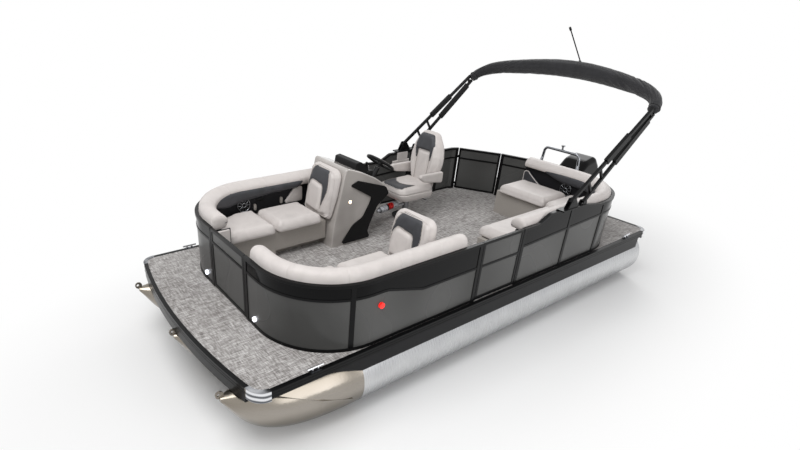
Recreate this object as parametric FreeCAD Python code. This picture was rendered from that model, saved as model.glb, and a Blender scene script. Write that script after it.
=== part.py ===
import FreeCAD, Part
import math
import os

V = FreeCAD.Vector

# Pontoon boat on three tubes, in millimetres: +X towards the bow, +Y to port, +Z up.
# Plan sizes are measured from the middle of the deck. The frame's origin lies below
# the middle of the whole boat, which the tilted outboard moves aft of the deck's.
deck_ahead_of_origin = 386.5

# Tubes and deck
beam = 2590.0
deck_length = 5790.0
bow_bulge = 110.0
tube_radius = 317.5
tube_side_gap = 2.5
tube_stern_inset = 25.0
nose_length = 1175.0
nose_tip_ahead = 130.0
bracket_rise = 2.0
member_height = 45.0
plank_thickness = 19.0
flooring_thickness = 3.0
fit_gap = 0.3
half_beam = beam / 2
half_deck = deck_length / 2
tube_spread = half_beam - tube_radius - tube_side_gap
bracket_top = 2 * tube_radius + bracket_rise
deck_under = bracket_top + member_height
deck_top = deck_under + plank_thickness + flooring_thickness

# Rub rail and corner castings
rail_thickness = 25.0
rail_lip = 14.0
rail_lip_thickness = 3.0
rail_drop = 69.0
bow_rail_drop = 139.0
casting_radius = 145.0
casting_width = 44.0
casting_rise = 6.0

# Fence: its outer line, heights and tube
bow_deck = 430.0
stern_deck = 595.0
side_ledge = 43.0
fence_height = 627.0
hump_rise = 79.0
fence_corner = 700.0
fence_tube = 28.0
fence_bow = half_deck - bow_deck
fence_side = half_beam - side_ledge
fence_stern = -half_deck + stern_deck
fence_top = deck_top + fence_height
fence_hump = fence_top + hump_rise
divider_height = 22.0
divider_bow = deck_top + 491.0
divider_gate = deck_top + 374.0
divider_stern = deck_top + 480.0
panel_thickness = 4.0
post_width = 42.0

# Gates
bow_gate_half = 340.0
port_gate_width = 607.0
port_gate_front = 0.1717 * half_deck
port_gate_back = port_gate_front - port_gate_width
stern_gate_front = (fence_stern + 438.0, -fence_side + 46.0)
stern_gate_back = (fence_stern + 118.0, -fence_side + 600.0)
stern_break = (fence_stern, -300.0)
gate_gap = 7.0
gate_lift = 14.0
hinge_radius = 7.0
hinge_height = 38.0
hinge_setback = 10.0
hinge_clear = 12.0

# Lounges
coaming_inset = 120.0
coaming_thickness = 12.0
bolster_inner = 215.0
bolster_outer = 36.0
bolster_bottom = deck_top + 568.0
bolster_top = deck_top + 721.0
aft_bolster_top = deck_top + 691.0
seat_top = deck_top + 416.0
seat_thickness = 108.0
aisle_half = 490.0
seat_front = aisle_half
seat_back_gap = 60.0
base_wall = 12.0
base_toe = 120.0


def box(x0, x1, y0, y1, z0, z1):
    return Part.makeBox(x1 - x0, y1 - y0, z1 - z0, V(x0, y0, z0))


def line(a, b):
    return Part.LineSegment(a, b).toShape()


def edges_through(points, radii):
    """Straight edges through the points, with a tangent arc at each inner point."""
    points = [V(*p) for p in points]
    if not isinstance(radii, (list, tuple)):
        radii = [radii] * (len(points) - 2)
    edges = []
    start = points[0]
    for before, corner, after, radius in zip(points, points[1:], points[2:], radii):
        back = (before - corner).normalize()
        ahead = (after - corner).normalize()
        half = back.getAngle(ahead) / 2
        if radius > 0:
            reach = radius / math.tan(half)
            inward = (back + ahead).normalize()
            middle = corner + inward * (radius / math.sin(half) - radius)
            begin = corner + back * reach
            end = corner + ahead * reach
            if start.distanceToPoint(begin) > 1e-6:
                edges.append(line(start, begin))
            edges.append(Part.Arc(begin, middle, end).toShape())
            start = end
        else:
            edges.append(line(start, corner))
            start = corner
    if start.distanceToPoint(points[-1]) > 1e-6:
        edges.append(line(start, points[-1]))
    return edges


def face_between(first, second):
    """Face bounded by two open chains of edges that run the same way."""
    ends = [line(second[0].Vertexes[0].Point, first[0].Vertexes[0].Point),
            line(first[-1].Vertexes[-1].Point, second[-1].Vertexes[-1].Point)]
    return Part.Face(Part.Wire(Part.__sortEdges__(first + second + ends)))


def shifted(points, distance):
    """A plan line moved to its left, with mitred corners."""
    normals = []
    for (ax, ay), (bx, by) in zip(points, points[1:]):
        length = math.hypot(bx - ax, by - ay)
        normals.append(((ay - by) / length, (bx - ax) / length))
    pairs = zip(normals[:1] + normals, normals + normals[-1:])
    moved = []
    for (x, y), (one, other) in zip(points, pairs):
        mx, my = one[0] + other[0], one[1] + other[1]
        scale = 2 * distance / (mx * mx + my * my)
        moved.append((x + mx * scale, y + my * scale))
    return moved


def wall(run, outer, inner, z0, z1):
    """Upright wall along a plan run, between two distances inboard of its line."""
    points, radii = run
    chains = []
    for inset in (outer, inner):
        turned = [r - inset if r > 0 else 0 for r in radii]
        chains.append(edges_through([(x, y, z0) for x, y in shifted(points, inset)], turned))
    return face_between(*chains).extrude(V(0, 0, z1 - z0))


def slab_between(low, high, radius, y0=-half_beam, y1=half_beam):
    """Everything across the boat between two height curves of (x, z) points."""
    chains = [edges_through([(x, y0, z) for x, z in curve], radius) for curve in (low, high)]
    return face_between(*chains).extrude(V(0, y1 - y0, 0))


def raised(curve, rise):
    return [(x, z + rise) for x, z in curve]


def edges_closed(ring, radii=0):
    """Closed wire through a ring of points, with a tangent arc at each."""
    start = tuple((a + b) / 2 for a, b in zip(ring[-1], ring[0]))
    return Part.Wire(edges_through([start] + ring + [start], radii))


def outline_x(points, y0, y1, radii=0):
    """Prism across the boat on a closed side outline of (x, z) points."""
    wire = edges_closed([(x, y0, z) for x, z in points], radii)
    return Part.Face(wire).extrude(V(0, y1 - y0, 0))


def outline_z(points, z0, z1, radii=0):
    """Upright prism on a closed plan outline of (x, y) points."""
    wire = edges_closed([(x, y, z0) for x, y in points], radii)
    return Part.Face(wire).extrude(V(0, 0, z1 - z0))


def pipe(points, radius, bend):
    """Round bar or tube along bent straight runs."""
    spine = Part.Wire(edges_through(points, bend))
    first, second = V(*points[0]), V(*points[1])
    ring = Part.Wire(Part.makeCircle(radius, first, second - first))
    return spine.makePipeShell([ring], True, False)


def rod(a, b, radius):
    a, b = V(*a), V(*b)
    return Part.makeCylinder(radius, a.distanceToPoint(b), a, b - a)


def mirrored(shape):
    return shape.mirror(V(0, 0, 0), V(0, 1, 0))


def both_sides(shape):
    return Part.makeCompound([shape, mirrored(shape)])


def joined(shapes):
    return shapes[0].multiFuse(shapes[1:]).removeSplitter()


def rounded(shape, radius, chosen):
    """Fillets the edges that the test picks."""
    return shape.makeFillet(radius, [e for e in shape.Edges if chosen(e)])


nodes = {}

# Tubes, each with the bracket welded along its crown that carries the deck
nose_start = half_deck + nose_tip_ahead - nose_length
tube_stern = -half_deck + tube_stern_inset
bracket_half = 110.0
bracket_drop = 44.0
cap_bulge = 18.0
pod_front = -half_deck + 335.0
centre_tube_stern = pod_front + cap_bulge + 17.0


def turned(profile, y, z):
    """Solid of revolution about a fore-and-aft axis, from edges in a plane through it."""
    wire = Part.Wire(Part.__sortEdges__(profile))
    solid = Part.Face(wire).revolve(V(0, 0, 0), V(1, 0, 0), 360)
    solid.translate(V(0, y, z))
    return solid


def tube(y, stern):
    crown = V(stern - cap_bulge, 0, 0)
    dome_radius = (tube_radius ** 2 + cap_bulge ** 2) / (2 * cap_bulge)
    half_way = math.asin(tube_radius / dome_radius) / 2
    mid_dome = crown + V(dome_radius * (1 - math.cos(half_way)), 0, dome_radius * math.sin(half_way))
    rim = V(stern, 0, tube_radius)
    seam = V(nose_start, 0, tube_radius)
    seam_middle = V(nose_start, 0, 0)
    body = turned([Part.Arc(crown, mid_dome, rim).toShape(), line(rim, seam), line(seam, seam_middle),
                   line(seam_middle, crown)], y, tube_radius)
    bracket = box(stern + 60, nose_start - 10, y - bracket_half, y + bracket_half,
                  bracket_top - bracket_drop, bracket_top)
    return joined([body, bracket])


nodes["tubes"] = Part.makeCompound([tube(tube_spread, tube_stern), tube(0.0, centre_tube_stern),
                                    tube(-tube_spread, tube_stern)])

# Nose cones: round at the seam, drawn up and in to the bow eye
nose_stations = [(0.0, 1.0, 0.004, 1.0), (0.12, 0.997, 0.0075, 0.998), (0.25, 0.985, 0.014, 0.993),
                 (0.45, 0.92, 0.045, 0.978), (0.66, 0.76, 0.14, 0.95), (0.80, 0.56, 0.29, 0.91),
                 (0.91, 0.33, 0.53, 0.878), (1.0, 0.09, 0.80, 0.865)]
eye_thickness = 14.0
eye_radius = 34.0
eye_hole = 13.0
eye_rise = 0.905
# Spray strake stations in shares of the tube radius: (share of the nose's length, edge, foot, root), each
# outboard of the tube's middle and above its bottom
strake_stations = [(0.098, (0.992, 0.762), (0.904, 0.58), (0.60, 0.75)), (0.366, (0.992, 1.178), (0.923, 0.743), (0.56, 1.12)),
                   (0.74, (0.56, 1.73), (0.47, 1.58), (0.2, 1.62))]


def nose_section(t, width, low, high, y):
    """Smooth oval across the nose at a share of its length."""
    x = nose_start + fit_gap + (nose_length - fit_gap) * t
    middle = tube_radius * (low + high)
    tall = tube_radius * (high - low)
    wide = tube_radius * width
    ring = [V(x, y + wide * math.cos(math.radians(a)), middle + tall * math.sin(math.radians(a))) for a in range(0, 360, 30)]
    oval = Part.BSplineCurve()
    oval.interpolate(Points=ring, PeriodicFlag=True)
    return Part.Wire(oval.toShape())


def nose(y, strake_side):
    sections = [nose_section(*station, y) for station in nose_stations]
    cone = Part.makeLoft(sections, True, False)
    tip = V(nose_start + nose_length, y, 2 * tube_radius * eye_rise)
    eye = Part.makeCylinder(eye_radius, eye_thickness, tip - V(0, eye_thickness / 2, 0), V(0, 1, 0))
    hole = Part.makeCylinder(eye_hole, eye_thickness * 2, tip + V(8, -eye_thickness, 4), V(0, 1, 0))
    pieces = [cone, eye]
    if strake_side:
        triangles = []
        for share, *corners in strake_stations:
            x = nose_start + nose_length * share
            ring = [V(x, y + strake_side * tube_radius * out, tube_radius * up) for out, up in corners]
            triangles.append(Part.makePolygon(ring + ring[:1]))
        pieces.append(Part.makeLoft(triangles, True, True))
    return joined(pieces).cut(hole)


nodes["nose_cones"] = Part.makeCompound([nose(tube_spread, 1), nose(0.0, 0), nose(-tube_spread, -1)])

# Hat-section cross members between the brackets and the deck
member_pitch = 406.4
member_foot = 110.0
member_crown = 60.0
member_skin = 4.0
member_half_length = half_beam - 55.0


def cross_member(x):
    z0, z1 = bracket_top, deck_under
    lip, s = z0 + member_skin, member_skin
    profile = [(x - member_foot / 2, z0), (x - member_crown / 2 + s, z0), (x - member_crown / 2 + s, z1 - s),
               (x + member_crown / 2 - s, z1 - s), (x + member_crown / 2 - s, z0), (x + member_foot / 2, z0),
               (x + member_foot / 2, lip), (x + member_crown / 2, lip), (x + member_crown / 2, z1),
               (x - member_crown / 2, z1), (x - member_crown / 2, lip), (x - member_foot / 2, lip)]
    return outline_x(profile, -member_half_length, member_half_length)


member_count = int((deck_length - 480) / member_pitch) + 1
first_member = -member_pitch * (member_count - 1) / 2
member_places = [first_member + i * member_pitch for i in range(member_count)]
nodes["cross_members"] = Part.makeCompound([cross_member(x) for x in member_places])

# Deck, with the bow's shallow arc and round corners under the castings
bow_corner_y = half_beam - casting_radius
bow_arc = (bow_corner_y ** 2 + bow_bulge ** 2) / (2 * bow_bulge)
bow_centre = half_deck + bow_bulge - bow_arc


def deck_plate(inset, z0, z1):
    """The deck's plan, pulled in from the rub rail's outer line."""
    corner = casting_radius - inset
    end = half_deck - inset
    main = outline_z([(-end, -half_beam + inset), (end, -half_beam + inset), (end, half_beam - inset),
                      (-end, half_beam - inset)], z0, z1, corner)
    bow = Part.makeCylinder(bow_arc - inset, z1 - z0, V(bow_centre, 0, z0))
    bow = bow.common(box(end - 60, end + bow_bulge, -bow_corner_y, bow_corner_y, z0, z1))
    return joined([main, bow])


nodes["deck"] = deck_plate(rail_thickness + fit_gap, deck_under, deck_top - flooring_thickness)
nodes["flooring"] = deck_plate(rail_thickness + fit_gap, deck_top - flooring_thickness, deck_top)

# Rub rails: an extrusion with two long grooves along each side, deeper at the bow
groove = 3.0


def rail_profile(drop):
    """(outboard distance from the outer line, height) of the rail's section."""
    low = deck_top - drop
    lip = deck_top + rail_lip_thickness
    upper, lower = deck_top - 20, deck_top - 44
    return [(0, lip), (0, upper), (-groove, upper - groove), (0, upper - 2 * groove), (0, lower),
            (-groove, lower - groove), (0, lower - 2 * groove), (0, low), (-rail_thickness, low),
            (-rail_thickness, deck_top), (-rail_thickness - rail_lip, deck_top), (-rail_thickness - rail_lip, lip)]


def straight_rail(along):
    """Side rail, or the stern's, as a prism."""
    if along == "side":
        ring = [V(-half_deck + casting_radius, half_beam + d, z) for d, z in rail_profile(rail_drop)]
        run = V(deck_length - 2 * casting_radius, 0, 0)
    else:
        ring = [V(-half_deck - d, -bow_corner_y, z) for d, z in rail_profile(rail_drop)]
        run = V(0, 2 * bow_corner_y, 0)
    return Part.Face(Part.makePolygon(ring + ring[:1])).extrude(run)


def bow_rail():
    ring = [V(bow_centre + bow_arc + d, 0, z) for d, z in rail_profile(bow_rail_drop)]
    section = Part.Face(Part.makePolygon(ring + ring[:1]))
    half_turn = math.degrees(math.asin(bow_corner_y / bow_arc)) + 1
    section.rotate(V(bow_centre, 0, 0), V(0, 0, 1), -half_turn)
    ring = section.revolve(V(bow_centre, 0, 0), V(0, 0, 1), 2 * half_turn)
    reach = bow_corner_y - 2
    return ring.common(box(0, half_deck + bow_bulge + 10, -reach, reach, 0, fence_top))


side_rail = straight_rail("side")
nodes["rub_rails"] = Part.makeCompound([side_rail, mirrored(side_rail), straight_rail("stern"), bow_rail()])


# Corner castings wrap the deck's round corners
def casting(sx, sy):
    z0, z1 = deck_top - rail_drop - 20, deck_top + casting_rise
    corner = V(sx * (half_deck - casting_radius), sy * bow_corner_y, z0)
    ring = Part.makeCylinder(casting_radius, z1 - z0, corner)
    ring = ring.cut(Part.makeCylinder(casting_radius - rail_thickness, deck_top - z0, corner))
    ring = ring.cut(Part.makeCylinder(casting_radius - casting_width, z1, corner))
    x0, x1 = sorted((corner.x, corner.x + sx * 300))
    y0, y1 = sorted((corner.y, corner.y + sy * 300))
    return ring.common(box(x0, x1, y0, y1, z0, z1))


nodes["corner_castings"] = Part.makeCompound([casting(sx, sy) for sx in (1, -1) for sy in (1, -1)])

# Side skirts hang from the rub rails over the tubes' shoulders
skirt_bottom = deck_top - 224.0
skirt_thickness = 4.0
skirt_y = half_beam - rail_thickness
skirt_top = deck_under
skirt = outline_x([(half_deck - 560, skirt_top), (half_deck - 1030, skirt_bottom + 8), (-half_deck + 160, skirt_bottom),
                   (-half_deck + 160, skirt_top)], skirt_y - skirt_thickness - fit_gap, skirt_y - fit_gap)
nodes["side_skirts"] = both_sides(skirt)

# Outboard pod: a welded box that carries the transom behind the deck
transom_face = -half_deck - 185.0
transom_top = deck_top + 26.0
transom_thickness = 40.0
transom_inner = transom_face + transom_thickness
pod_half = 300.0
pod_bottom = 190.0
pod_top = bracket_top - fit_gap
well_floor = deck_top - rail_drop - fit_gap
well_front = -half_deck + rail_thickness + 12.0
pod_outline = [(pod_front, pod_top), (pod_front, pod_top - 30), (pod_front - 180, pod_bottom),
               (transom_face, pod_bottom - 30), (transom_face, transom_top), (transom_inner, transom_top),
               (transom_inner, well_floor), (well_front, well_floor), (well_front, pod_top)]

# The fence's three runs, counter-clockwise seen from above, so that inboard is to their left
run_starboard = ([stern_gate_front, (stern_gate_front[0] + 95, -fence_side), (fence_bow, -fence_side),
                  (fence_bow, -bow_gate_half)], [0, fence_corner])
run_bow_port = ([(fence_bow, bow_gate_half), (fence_bow, fence_side), (port_gate_front, fence_side)], [fence_corner])
run_aft_port = ([(port_gate_back, fence_side), (fence_stern, fence_side), stern_break, stern_gate_back],
                [fence_corner, 0])

far = 3300.0
divider = [(far, divider_bow), (fence_bow - 825, divider_bow), (fence_bow - 1235, divider_gate),
           (port_gate_front, divider_gate), (port_gate_back, divider_gate + 52), (fence_stern + 700, divider_stern),
           (-far, divider_stern)]
hump = [-0.1244 * half_deck, -0.1796 * half_deck, -0.3454 * half_deck, -0.5009 * half_deck]
top_line = [(far, fence_top), (hump[0], fence_top), (hump[1], fence_hump), (hump[2], fence_hump),
            (hump[3], fence_top), (-far, fence_top)]
flat_low = [(far, deck_top), (-far, deck_top)]
sill = [(far, deck_top + fence_tube), (-far, deck_top + fence_tube)]
divider_bend = 260.0
top_bend = 90.0
over = fence_hump + 100


def clipped(shape, low, low_bend, high, high_bend):
    """The part of a wall between two height curves."""
    chains = [edges_through([(x, -half_beam, z) for x, z in low], low_bend),
              edges_through([(x, -half_beam, z) for x, z in high], high_bend)]
    return shape.common(face_between(*chains).extrude(V(0, beam, 0)))


def post(a, b, width):
    """Upright post at the end a of a run that leads towards b."""
    length = math.hypot(b[0] - a[0], b[1] - a[1])
    end = (a[0] + (b[0] - a[0]) * width / length, a[1] + (b[1] - a[1]) * width / length)
    return [a, end]


def fence(run, posts):
    """One length of fence: tube frame, outer panels below and above the divider, inner skin."""
    top_rail = clipped(wall(run, -3, fence_tube + 4, deck_top, over), raised(top_line, -fence_tube), top_bend,
                       top_line, top_bend)
    bottom_rail = wall(run, 0, fence_tube, deck_top, deck_top + fence_tube)
    middle = clipped(wall(run, 0, fence_tube, deck_top, over), raised(divider, -divider_height / 2), divider_bend,
                     raised(divider, divider_height / 2), divider_bend)
    uprights = []
    for line_of_post in posts:
        upright = wall((line_of_post, []), -1, fence_tube + 2, deck_top, over)
        uprights.append(clipped(upright, flat_low, 0, raised(top_line, -2), top_bend))
    frame = joined([bottom_rail, top_rail, middle] + uprights)
    lower = clipped(wall(run, 6, 6 + panel_thickness, deck_top, over), sill, 0,
                    raised(divider, -divider_height / 2), divider_bend).cut(frame)
    upper = clipped(wall(run, 4, 4 + panel_thickness, deck_top, over), raised(divider, divider_height / 2), divider_bend,
                    raised(top_line, -fence_tube), top_bend).cut(frame)
    lining = clipped(wall(run, 20, 20 + panel_thickness, deck_top, over), sill, 0,
                     raised(divider, -divider_height / 2), divider_bend).cut(frame)
    lining_top = clipped(wall(run, 20, 20 + panel_thickness, deck_top, over), raised(divider, divider_height / 2),
                         divider_bend, raised(top_line, -fence_tube), top_bend).cut(frame)
    return frame, lower.Solids + lining.Solids + lining_top.Solids, upper.Solids


def side_post(x, y, direction):
    """Post on a side run, in the direction in which that run goes."""
    return [(x - direction * post_width / 2, y), (x + direction * post_width / 2, y)]


corner_x = fence_bow - fence_corner
corner_y = fence_side - fence_corner


def corner_post(sign, lean):
    """Post on the bow's round corner, at an angle from the side line."""
    reach = fence_corner
    spread = post_width / 2 / reach
    ends = [(corner_x + reach * math.sin(lean + d), sign * (corner_y + reach * math.cos(lean + d))) for d in (spread, -spread)]
    return ends if sign > 0 else ends[::-1]


seam_lean = math.radians(17)
starboard_posts = [post(run_starboard[0][0], run_starboard[0][1], post_width),
                   post(run_starboard[0][-1], run_starboard[0][-2], post_width)[::-1],
                   corner_post(-1, seam_lean)]
starboard_posts += [side_post(x, -fence_side, 1) for x in (port_gate_front, port_gate_back - 21, hump[2] + 80)]
bow_port_posts = [post(run_bow_port[0][0], run_bow_port[0][1], post_width),
                  post(run_bow_port[0][-1], run_bow_port[0][-2], post_width)[::-1], corner_post(1, seam_lean)]
aft_port_posts = [post(run_aft_port[0][0], run_aft_port[0][1], post_width),
                  post(run_aft_port[0][-1], run_aft_port[0][-2], post_width)[::-1],
                  side_post(hump[2] + 80, fence_side, -1), side_post(fence_stern + 720, fence_side, -1),
                  [(fence_stern, corner_y - 10), (fence_stern, corner_y - 10 - post_width)]]

panels, bands = [], []
for name, run, posts in (("fence_starboard", run_starboard, starboard_posts), ("fence_bow_port", run_bow_port, bow_port_posts),
                         ("fence_aft_port", run_aft_port, aft_port_posts)):
    frame, lower, upper = fence(run, posts)
    nodes[name] = frame
    panels += lower
    bands += upper
nodes["fence_panels"] = Part.makeCompound(panels)
nodes["fence_bands"] = Part.makeCompound(bands)


def along(a, b, distance):
    """The point a distance from a towards b."""
    length = math.hypot(b[0] - a[0], b[1] - a[1])
    return (a[0] + (b[0] - a[0]) * distance / length, a[1] + (b[1] - a[1]) * distance / length)


def shorten(points, inset):
    return [along(points[0], points[1], inset), along(points[1], points[0], inset)]


def strap(a, b, inboard_left, start, end, inset, z):
    """Hinge strap on the inner face of a frame that runs from a towards b."""
    points = [along(a, b, start), along(a, b, end)]
    return wall((points if inboard_left else points[::-1], []), inset, inset + 4, z, z + hinge_height)


def gate(name, post_end, hinge_end, free_end, inboard_left, gaps, split):
    """Gate between two posts: frame and its hinge barrels, and the panels in the frame.

    Gives the fence's own barrels and straps, the first post running from post_end to hinge_end.
    """
    a, b = along(hinge_end, free_end, gaps[0]), along(free_end, hinge_end, gaps[1])
    run = ([a, b] if inboard_left else [b, a], [])
    z0, z1 = deck_top + gate_lift, fence_top
    body = wall(run, 0, fence_tube, z0, z1)
    hollow = wall((shorten(run[0], fence_tube), []), -5, fence_tube + 5, z0 + fence_tube, z1 - fence_tube)
    bar = wall((shorten(run[0], 2), []), 0, fence_tube, split - divider_height / 2, split + divider_height / 2)
    depth = fence_tube + hinge_setback
    pivot = shifted([post_end, hinge_end, free_end], depth if inboard_left else -depth)[1]
    offset = math.sqrt(max(0.0, math.dist(pivot, hinge_end) ** 2 - depth ** 2))
    barrels, leaves = [], []
    for z in (z0 + 60, z1 - 140):
        barrels.append(Part.makeCylinder(hinge_radius, hinge_height, V(pivot[0], pivot[1], z)))
        barrels.append(strap(hinge_end, free_end, inboard_left, offset + 2, gaps[0] + 26, fence_tube, z))
        upper = z + hinge_height + 0.5
        leaves.append(Part.makeCylinder(hinge_radius, hinge_height, V(pivot[0], pivot[1], upper)))
        leaves.append(strap(hinge_end, post_end, not inboard_left, offset, offset + 26, fence_tube + 2, upper))
    nodes[name + "_frame"] = joined([body.cut(hollow), bar] + barrels)
    skin = wall((shorten(run[0], fence_tube), []), 6, 6 + panel_thickness, z0 + fence_tube, z1 - fence_tube)
    lining = wall((shorten(run[0], fence_tube), []), 18, 18 + panel_thickness, z0 + fence_tube, z1 - fence_tube)
    nodes[name + "_panels"] = Part.makeCompound(skin.cut(bar).Solids + lining.cut(bar).Solids)
    return leaves


straight_gaps = (gate_gap, gate_gap)
stern_gaps = (gate_gap + 19.0, gate_gap * 2)
leaves_of = {
    "fence_starboard": gate("bow_gate", (fence_bow, -bow_gate_half - 100), (fence_bow, -bow_gate_half),
                            (fence_bow, bow_gate_half), True, straight_gaps, divider_bow),
    "fence_bow_port": gate("port_gate", (port_gate_front + 100, fence_side), (port_gate_front, fence_side),
                           (port_gate_back, fence_side), True, straight_gaps, divider_gate),
}
leaves_of["fence_starboard"] += gate("stern_gate", run_starboard[0][1], stern_gate_front, stern_gate_back, False,
                                     stern_gaps, divider_stern)
for name, leaves in leaves_of.items():
    nodes[name] = joined([nodes[name]] + leaves)

# Coamings: the upright panels behind the seats that carry the bolsters
lounge_back = 0.342 * half_deck
coaming_back = lounge_back - 310.0
bolster_back = lounge_back - 330.0
bow_coaming_start = bow_gate_half + 28
coaming_bow = ([(fence_bow, bow_coaming_start), (fence_bow, fence_side), (coaming_back, fence_side)], [fence_corner])
aft_front = port_gate_back - 40.0
stern_seat_end = -0.17 * fence_side
coaming_aft = ([(aft_front, fence_side), (fence_stern, fence_side), (fence_stern, stern_seat_end)], [fence_corner])
coaming = (coaming_inset, coaming_inset + coaming_thickness)
bow_panel = wall(coaming_bow, *coaming, deck_top, bolster_bottom - fit_gap)
bow_end = box(fence_bow - bolster_inner, fence_bow - fence_tube - hinge_clear, bow_coaming_start - coaming_thickness,
              bow_coaming_start, deck_top, bolster_bottom - fit_gap)
back_end = box(coaming_back, coaming_back + coaming_thickness, fence_side - bolster_inner,
               fence_side - fence_tube - 8, deck_top, bolster_bottom - fit_gap)
nodes["coaming_bow"] = both_sides(joined([bow_panel, bow_end, back_end]))
nodes["coaming_aft"] = wall(coaming_aft, *coaming, deck_top, bolster_bottom - fit_gap)

# Bolsters along the tops of the coamings
bolster_round = 45.0


def bolster(run, height):
    body = wall(run, bolster_outer, bolster_inner, bolster_bottom, height)
    return rounded(body, bolster_round, lambda e: e.BoundBox.ZMin > height - 1)


bolster_bow = bolster(([(fence_bow, bow_gate_half + 20), (fence_bow, fence_side), (bolster_back, fence_side)],
                       [fence_corner]), bolster_top)
nodes["bolsters_bow"] = both_sides(bolster_bow)
nodes["bolster_aft"] = bolster(([(aft_front + 12, fence_side), (fence_stern, fence_side),
                                 (fence_stern, stern_seat_end)], [fence_corner]), aft_bolster_top)

# Seat bases: moulded boxes, open under the hinged cushions
base_top = seat_top - seat_thickness - fit_gap
base_outer = coaming_inset + coaming_thickness + fit_gap
lid_back = lounge_back + 72.0
lid_front = 0.5682 * half_deck
base_bow_end = fence_bow - 265.0
base_inner_y = seat_front + 70
rear_y = fence_side - coaming_inset - coaming_thickness - seat_back_gap


def inside_of(run, inset, z0, z1):
    """Everything inboard of a fence run's line, as a solid to trim furniture with."""
    points, radii = run
    first, corner, last = [V(x, y, z0) for x, y in shifted(points, inset)]
    chain = edges_through([first, corner, last], [r - inset for r in radii])
    inner = first + last - corner
    closing = [line(last, inner), line(inner, first)]
    return Part.Face(Part.Wire(Part.__sortEdges__(chain + closing))).extrude(V(0, 0, z1 - z0))


bow_inside = ([(fence_bow, 0.0), (fence_bow, fence_side), (-200.0, fence_side)], [fence_corner])
aft_inside = ([(0.0, fence_side), (fence_stern, fence_side), (fence_stern, -700.0)], [fence_corner])


def bow_base(back):
    body = box(back, base_bow_end, base_inner_y, fence_side, deck_top, base_top)
    body = body.common(inside_of(bow_inside, base_outer, deck_top, base_top))
    toe = box(back - 10, lid_front, base_inner_y - 10, base_inner_y + base_toe, deck_top - 1, deck_top + 90)
    well = box(lid_back + base_wall, lid_front - base_wall, base_inner_y + base_toe + base_wall, rear_y - base_wall,
               deck_top + base_wall, base_top + 1)
    upper = box(lid_back + base_wall, lid_front - base_wall, base_inner_y + base_wall, rear_y - base_wall,
                deck_top + 90 + base_wall, base_top + 1)
    return body.cut(toe).cut(well).cut(upper)


port_base_back = lounge_back - 130.0
nodes["seat_bases_bow"] = Part.makeCompound([bow_base(port_base_back), mirrored(bow_base(lounge_back))])

aft_lid_front = aft_front - 40.0
aft_lid_back = fence_stern + 860.0
aft_inner_y = fence_side - 632.0
stern_inner_x = fence_stern + 760.0
stern_rear_x = fence_stern + coaming_inset + coaming_thickness + seat_back_gap
stern_lid_port = aft_inner_y - 75.0
stern_lid_starboard = stern_seat_end + 40.0


def aft_base():
    leg = box(fence_stern, aft_front, aft_inner_y + 70, fence_side, deck_top, base_top)
    bench = box(fence_stern, stern_inner_x - 70, stern_seat_end, fence_side, deck_top, base_top)
    body = joined([leg, bench]).common(inside_of(aft_inside, base_outer, deck_top, base_top))
    wells = [box(aft_lid_back + base_wall, aft_lid_front - base_wall, aft_inner_y + 70 + base_wall, rear_y - base_wall,
                 deck_top + base_wall, base_top + 1),
             box(stern_rear_x + base_wall, stern_inner_x - 70 - base_wall, stern_lid_starboard + base_wall,
                 stern_lid_port - base_wall, deck_top + base_wall, base_top + 1)]
    return body.cut(wells[0]).cut(wells[1])


nodes["seat_base_aft"] = aft_base()

# Seat cushions: corner seats are fixed, the straight ones are lids
cushion_round = 24.0
rear_slope = 50.0


def cushion(shape):
    return rounded(shape, cushion_round, lambda e: e.BoundBox.ZMin > seat_top - 1)


def cushion_lid(x0, x1, y0, y1):
    """Straight cushion whose rear face slopes, so that it can tip up at its rear edge."""
    z0 = seat_top - seat_thickness
    section = [V(x0, y0, z0), V(x0, y1, z0), V(x0, y1 - rear_slope, seat_top), V(x0, y0, seat_top)]
    return cushion(Part.Face(Part.makePolygon(section + section[:1])).extrude(V(x1 - x0, 0, 0)))


trim_inset = coaming_inset + coaming_thickness + 40
corner_seat = box(lid_front + 10, base_bow_end + 10, seat_front, rear_y, seat_top - seat_thickness, seat_top)
corner_seat = cushion(corner_seat.common(inside_of(bow_inside, trim_inset, 0, fence_top)))
aft_corner = joined([box(fence_stern, aft_lid_back - 10, aft_inner_y, fence_side, seat_top - seat_thickness, seat_top),
                     box(fence_stern, stern_inner_x, stern_lid_port + 10, fence_side, seat_top - seat_thickness, seat_top)])
aft_corner = cushion(aft_corner.common(inside_of(aft_inside, trim_inset, 0, fence_top)))
nodes["corner_cushions"] = Part.makeCompound([corner_seat, mirrored(corner_seat), aft_corner])
lid = cushion_lid(lid_back, lid_front, seat_front, rear_y)
nodes["seat_lid_bow_port"] = lid
nodes["seat_lid_bow_starboard"] = mirrored(lid)
nodes["seat_lid_aft_port"] = cushion_lid(aft_lid_back, aft_lid_front, aft_inner_y, rear_y)
stern_lid = cushion_lid(stern_lid_starboard, stern_lid_port, -stern_inner_x, -stern_rear_x)
stern_lid.rotate(V(0, 0, 0), V(0, 0, 1), 90)
nodes["seat_lid_stern"] = stern_lid

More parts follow.
